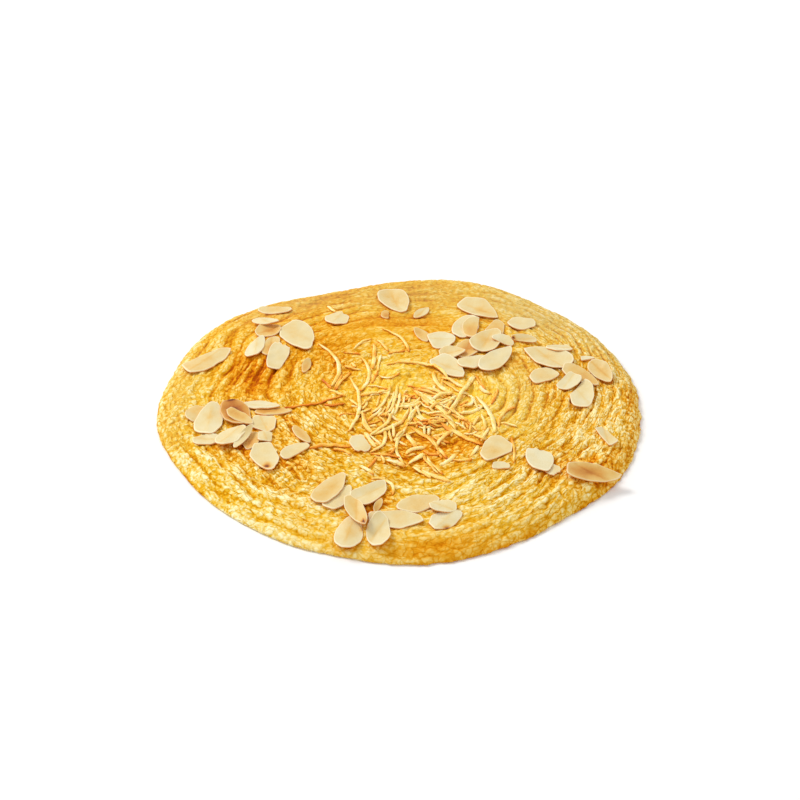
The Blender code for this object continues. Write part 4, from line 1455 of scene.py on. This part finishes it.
def tone(red, green, blue):
    """A colour as a screen shows it, in 0 to 255, turned into the linear values that nodes take."""
    linear = [
        value / 12.92 if value <= 0.04045 else ((value + 0.055) / 1.055) ** 2.4
        for value in (red / 255, green / 255, blue / 255)
    ]
    return (*linear, 1)


print("white on a screen is", tone(255, 255, 255)[0], "and middle grey is", round(tone(128, 128, 128)[0], 3))

# %% [markdown]
# The colour of the crust follows patterns that no picture could give at every distance: grains, fibres along the
# strands, irregular blobs between narrow gaps, fine grit, and long patches. A pattern laid on places that are
# drawn out along the strands comes out long and thin.

# %% Patterns of the pastry
GRAIN_SIZE, GRAIN_GAP = 2.6, 0.12
FIBRE_GAP = 0.10
GRIT_SIZE = 0.9
STRAY_SCALE, STRAY_REACH = 0.3, 1.6
BLOB_GAP = 0.2
FOLD_VALLEY, ROPE_VALLEY = 1.1, 0.9

crust = Finish("baked_pastry")
place = crust.place()
place_x = crust.node("SeparateXYZ", {}, {0: place})
place_y = Wire(crust, place_x.socket.node.outputs[1])
strand_line = crust.noted("strand_line")


def drawn_out(over, along):
    """Places for a pattern: how fast it changes from strand to strand, and how slowly along them."""
    return crust.node("CombineXYZ", {}, {0: strand_line * over, 1: place_x * along, 2: place_y * along})


grains = crust.grains(place, GRAIN_SIZE, GRAIN_GAP)
fibres = crust.grains(drawn_out(0.5, 0.16), 1.0, FIBRE_GAP)
grit = crust.speckle(place, GRIT_SIZE, roughness=0.6)
patch = crust.speckle(drawn_out(0.14, 0.05), 1)
stray = crust.node("TexNoise", {}, {"Vector": place, "Scale": STRAY_SCALE, "Detail": 1}, output=1)
stray = crust.node("VectorMath", {"operation": "MULTIPLY"}, {0: stray, 1: (STRAY_REACH,) * 3})
blob_place = crust.node("VectorMath", {"operation": "ADD"}, {0: drawn_out(0.45, 0.25), 1: stray})
to_gap = crust.node("TexVoronoi", {"feature": "DISTANCE_TO_EDGE"}, {"Vector": blob_place, "Scale": 1})
blobs = crust.soft_step(to_gap, 0.0, BLOB_GAP)
# Valley lines of the folds and ropes, where painted shade goes
fold_valley = crust.valley(crust.noted("fold_line"), MEAN_RADIUS / BROAD_TURNS, FOLD_VALLEY)
rope_valley = crust.valley(crust.noted("rope_line"), MEAN_RADIUS / ROPE_TURNS, ROPE_VALLEY)
valleys = fold_valley * crust.noted("folded") + rope_valley * crust.noted("roped")
print("nodes for the patterns:", len(crust.tree.nodes))

# %% [markdown]
# Baked pastry is painted pale where a thin layer stands up and golden to orange in the valleys, partly the bake's
# own tone and partly painted light on the crests and painted shade in the valleys. One number, the bake, is the
# noted crest with the fine patterns added and the share of toast and painted shade taken off. It runs through two
# colour ramps, a golden one and an orange one, and that share mixes them. The tan patches and those where melted
# cheese soaked in are mixed over that. The fine patterns make small bumps too.

# %% Pastry finish
# How much each pattern darkens the crust towards orange: the patches as toast, the valleys and the crust round the
# toppings as painted shade
PATCH_TOAST, VALLEY_SHADE_TOAST, CONTACT_SHADE_TOAST = 0.8, 0.45, 0.5
# The usual value of each fine pattern, taken off so that the mean colour stays where it is, and its weight
USUAL_FIBRE, FIBRE_LEAST, FIBRE_MORE = 0.65, 0.08, 0.36
USUAL_BLOB, BLOB_MOST, BLOB_LESS = 0.6, 0.4, 0.14
USUAL_GRAIN, GRAIN_WEIGHT = 0.65, 0.16
GRIT_WEIGHT = 0.14
# The bake of a flat place, and what the crest, the toast and the painted shade do to it
FLAT_BAKE, CREST_WEIGHT, TOAST_AND_SHADE_WEIGHT, VALLEY_SHADE_WEIGHT = 0.52, 0.5, 0.15, 0.15
TOAST_AND_SHADE_FROM, TOAST_AND_SHADE_TO = -0.2, 0.75
GOLDEN_STOPS = (
    (0.0, tone(204, 132, 0)),
    (0.22, tone(226, 163, 6)),
    (0.45, tone(233, 186, 54)),
    (0.65, tone(240, 207, 114)),
    (0.85, tone(248, 226, 156)),
    (1.0, tone(254, 240, 188)),
)
ORANGE_STOPS = (
    (0.0, tone(174, 76, 0)),
    (0.22, tone(206, 112, 0)),
    (0.45, tone(228, 147, 6)),
    (0.65, tone(240, 180, 58)),
    (0.85, tone(248, 210, 112)),
    (1.0, tone(253, 232, 156)),
)
TAN_COLOR = tone(206, 177, 112)
MELTED_COLOR = tone(255, 216, 72)

stranded = crust.noted("stranded")
patchy = (patch - 0.5) * PATCH_TOAST
# Toast of the regions and patches, with painted shade in the valleys and round the toppings
toast_and_shade = crust.noted("brown") + patchy + valleys * VALLEY_SHADE_TOAST + crust.noted("halo") * CONTACT_SHADE_TOAST
layered = (fibres - USUAL_FIBRE) * (FIBRE_LEAST + stranded * FIBRE_MORE)
pebbled = (blobs - USUAL_BLOB) * (BLOB_MOST - stranded * BLOB_LESS) + (grains - USUAL_GRAIN) * GRAIN_WEIGHT
fine = (pebbled + layered + (grit - 0.5) * GRIT_WEIGHT) * crust.noted("crisp")
bake = FLAT_BAKE + crust.noted("crest") * CREST_WEIGHT + fine - toast_and_shade * TOAST_AND_SHADE_WEIGHT - valleys * VALLEY_SHADE_WEIGHT
share_toast_and_shade = crust.node("MapRange", {}, {0: toast_and_shade, 1: TOAST_AND_SHADE_FROM, 2: TOAST_AND_SHADE_TO})
color = crust.blend(share_toast_and_shade, crust.ramp(bake, GOLDEN_STOPS), crust.ramp(bake, ORANGE_STOPS))
color = crust.blend(crust.noted("tan"), color, TAN_COLOR)
color = crust.blend(crust.noted("melted"), color, MELTED_COLOR)
crust.set(Base_Color=color, Roughness=0.6, Specular_IOR_Level=0.03, Normal=crust.bumps(fine, 1.0, 0.5))
pastry.data.materials.append(crust.material)
print("nodes of the pastry finish:", len(crust.tree.nodes))

# %% [markdown]
# Blanched almond is a waxy cream, a little different on each flake. Toast gathers near the middle of a flake,
# where it touched nothing, while its thin rim is painted pale, partly its own lighter tone and partly a painted
# highlight where the cut edge catches the light. The lower part of the cut wall is painted warm orange as shade
# lit by the crust that it faces, and a fold shows as a faint warm line.

# %% Almond finish
ALMOND_CLOUD, GRAIN_ROAST, CREASE_ROAST, TINT_ROAST = 0.4, 0.1, 0.14, 0.14
RIM_FROM, RIM_MOST = 0.9, 0.75
WALL_FROM, WALL_TO = 0.2, 0.8
ALMOND_STOPS = (
    (0.0, tone(226, 215, 176)),
    (0.2, tone(224, 203, 148)),
    (0.42, tone(222, 182, 104)),
    (0.62, tone(210, 150, 66)),
    (0.85, tone(178, 102, 26)),
    (1.0, tone(104, 44, 6)),
)
RIM_TONE_AND_HIGHLIGHT = tone(255, 243, 208)
WALL_SHADE_COLOR = tone(232, 152, 48)

flaked = Finish("flaked_almond")
place = flaked.place()
toast = flaked.noted("toast")
cloud = flaked.speckle(place, 6, detail=3)
grain = flaked.speckle(place, 0.7)
roast = toast + (cloud - 0.5) * ALMOND_CLOUD + (grain - 0.5) * GRAIN_ROAST
roast = roast + flaked.noted("crease") * CREASE_ROAST + flaked.noted("tint") * TINT_ROAST
# Painted highlight on the thin rim, partly the rim's own lighter tone, and painted warm shade on the lower wall
paled_rim_and_highlight = flaked.soft_step(flaked.noted("rim"), RIM_FROM, 1.0, 0.0, RIM_MOST) * (1 - toast)
wall_shade = flaked.soft_step(flaked.noted("under"), WALL_FROM, WALL_TO)
color = flaked.blend(paled_rim_and_highlight, flaked.ramp(roast, ALMOND_STOPS), RIM_TONE_AND_HIGHLIGHT)
color = flaked.blend(wall_shade, color, WALL_SHADE_COLOR)
waxy = flaked.bumps(grain + cloud * 3, 0.4, 0.2)
flaked.set(Base_Color=color, Roughness=0.45, Specular_IOR_Level=0.3, Normal=waxy)
almonds.data.materials.append(flaked.material)
print("nodes of the almond finish:", len(flaked.tree.nodes))

# %% [markdown]
# A baked shred is creamy on top and orange where it browned, mostly at its ends. Its lower side, where it touches
# the crust, is painted more orange, partly as toast and partly as painted shade. A little light goes through it, so
# subsurface scattering softens it.

# %% Cheese finish
TOAST_ROAST, UNDER_TOAST_AND_SHADE, CHEESE_CLOUD, MIDDLE_ROAST = 0.75, 0.5, 0.4, 0.16
CHEESE_STOPS = (
    (0.0, tone(255, 242, 192)),
    (0.25, tone(255, 223, 136)),
    (0.5, tone(251, 194, 82)),
    (0.75, tone(240, 150, 36)),
    (1.0, tone(204, 100, 16)),
)

melting = Finish("baked_cheese")
upper = melting.noted("upper")
cloud = melting.speckle(melting.place(), 3)
# The lower side is painted more orange, partly as toast and partly as painted shade
roast = melting.noted("toast") * TOAST_ROAST + (1 - upper) * UNDER_TOAST_AND_SHADE
roast = roast + (cloud - 0.5) * CHEESE_CLOUD + melting.noted("middle") * upper * MIDDLE_ROAST
color = melting.ramp(roast, CHEESE_STOPS)
melting.set(Base_Color=color, Roughness=0.45, Specular_IOR_Level=0.25, Normal=melting.bumps(cloud, 0.3, 0.15))
melting.set(Subsurface_Weight=0.35, Subsurface_Scale=0.6 * MM, Subsurface_Radius=(1, 0.6, 0.25))
cheese.data.materials.append(melting.material)
print("nodes of the cheese finish:", len(melting.tree.nodes))

# %% [markdown]
# All three pieces stand for the one solid and move with it.

# %% Finish
for piece in (pastry, almonds, cheese):
    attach(piece, "root")
    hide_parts("cookie")
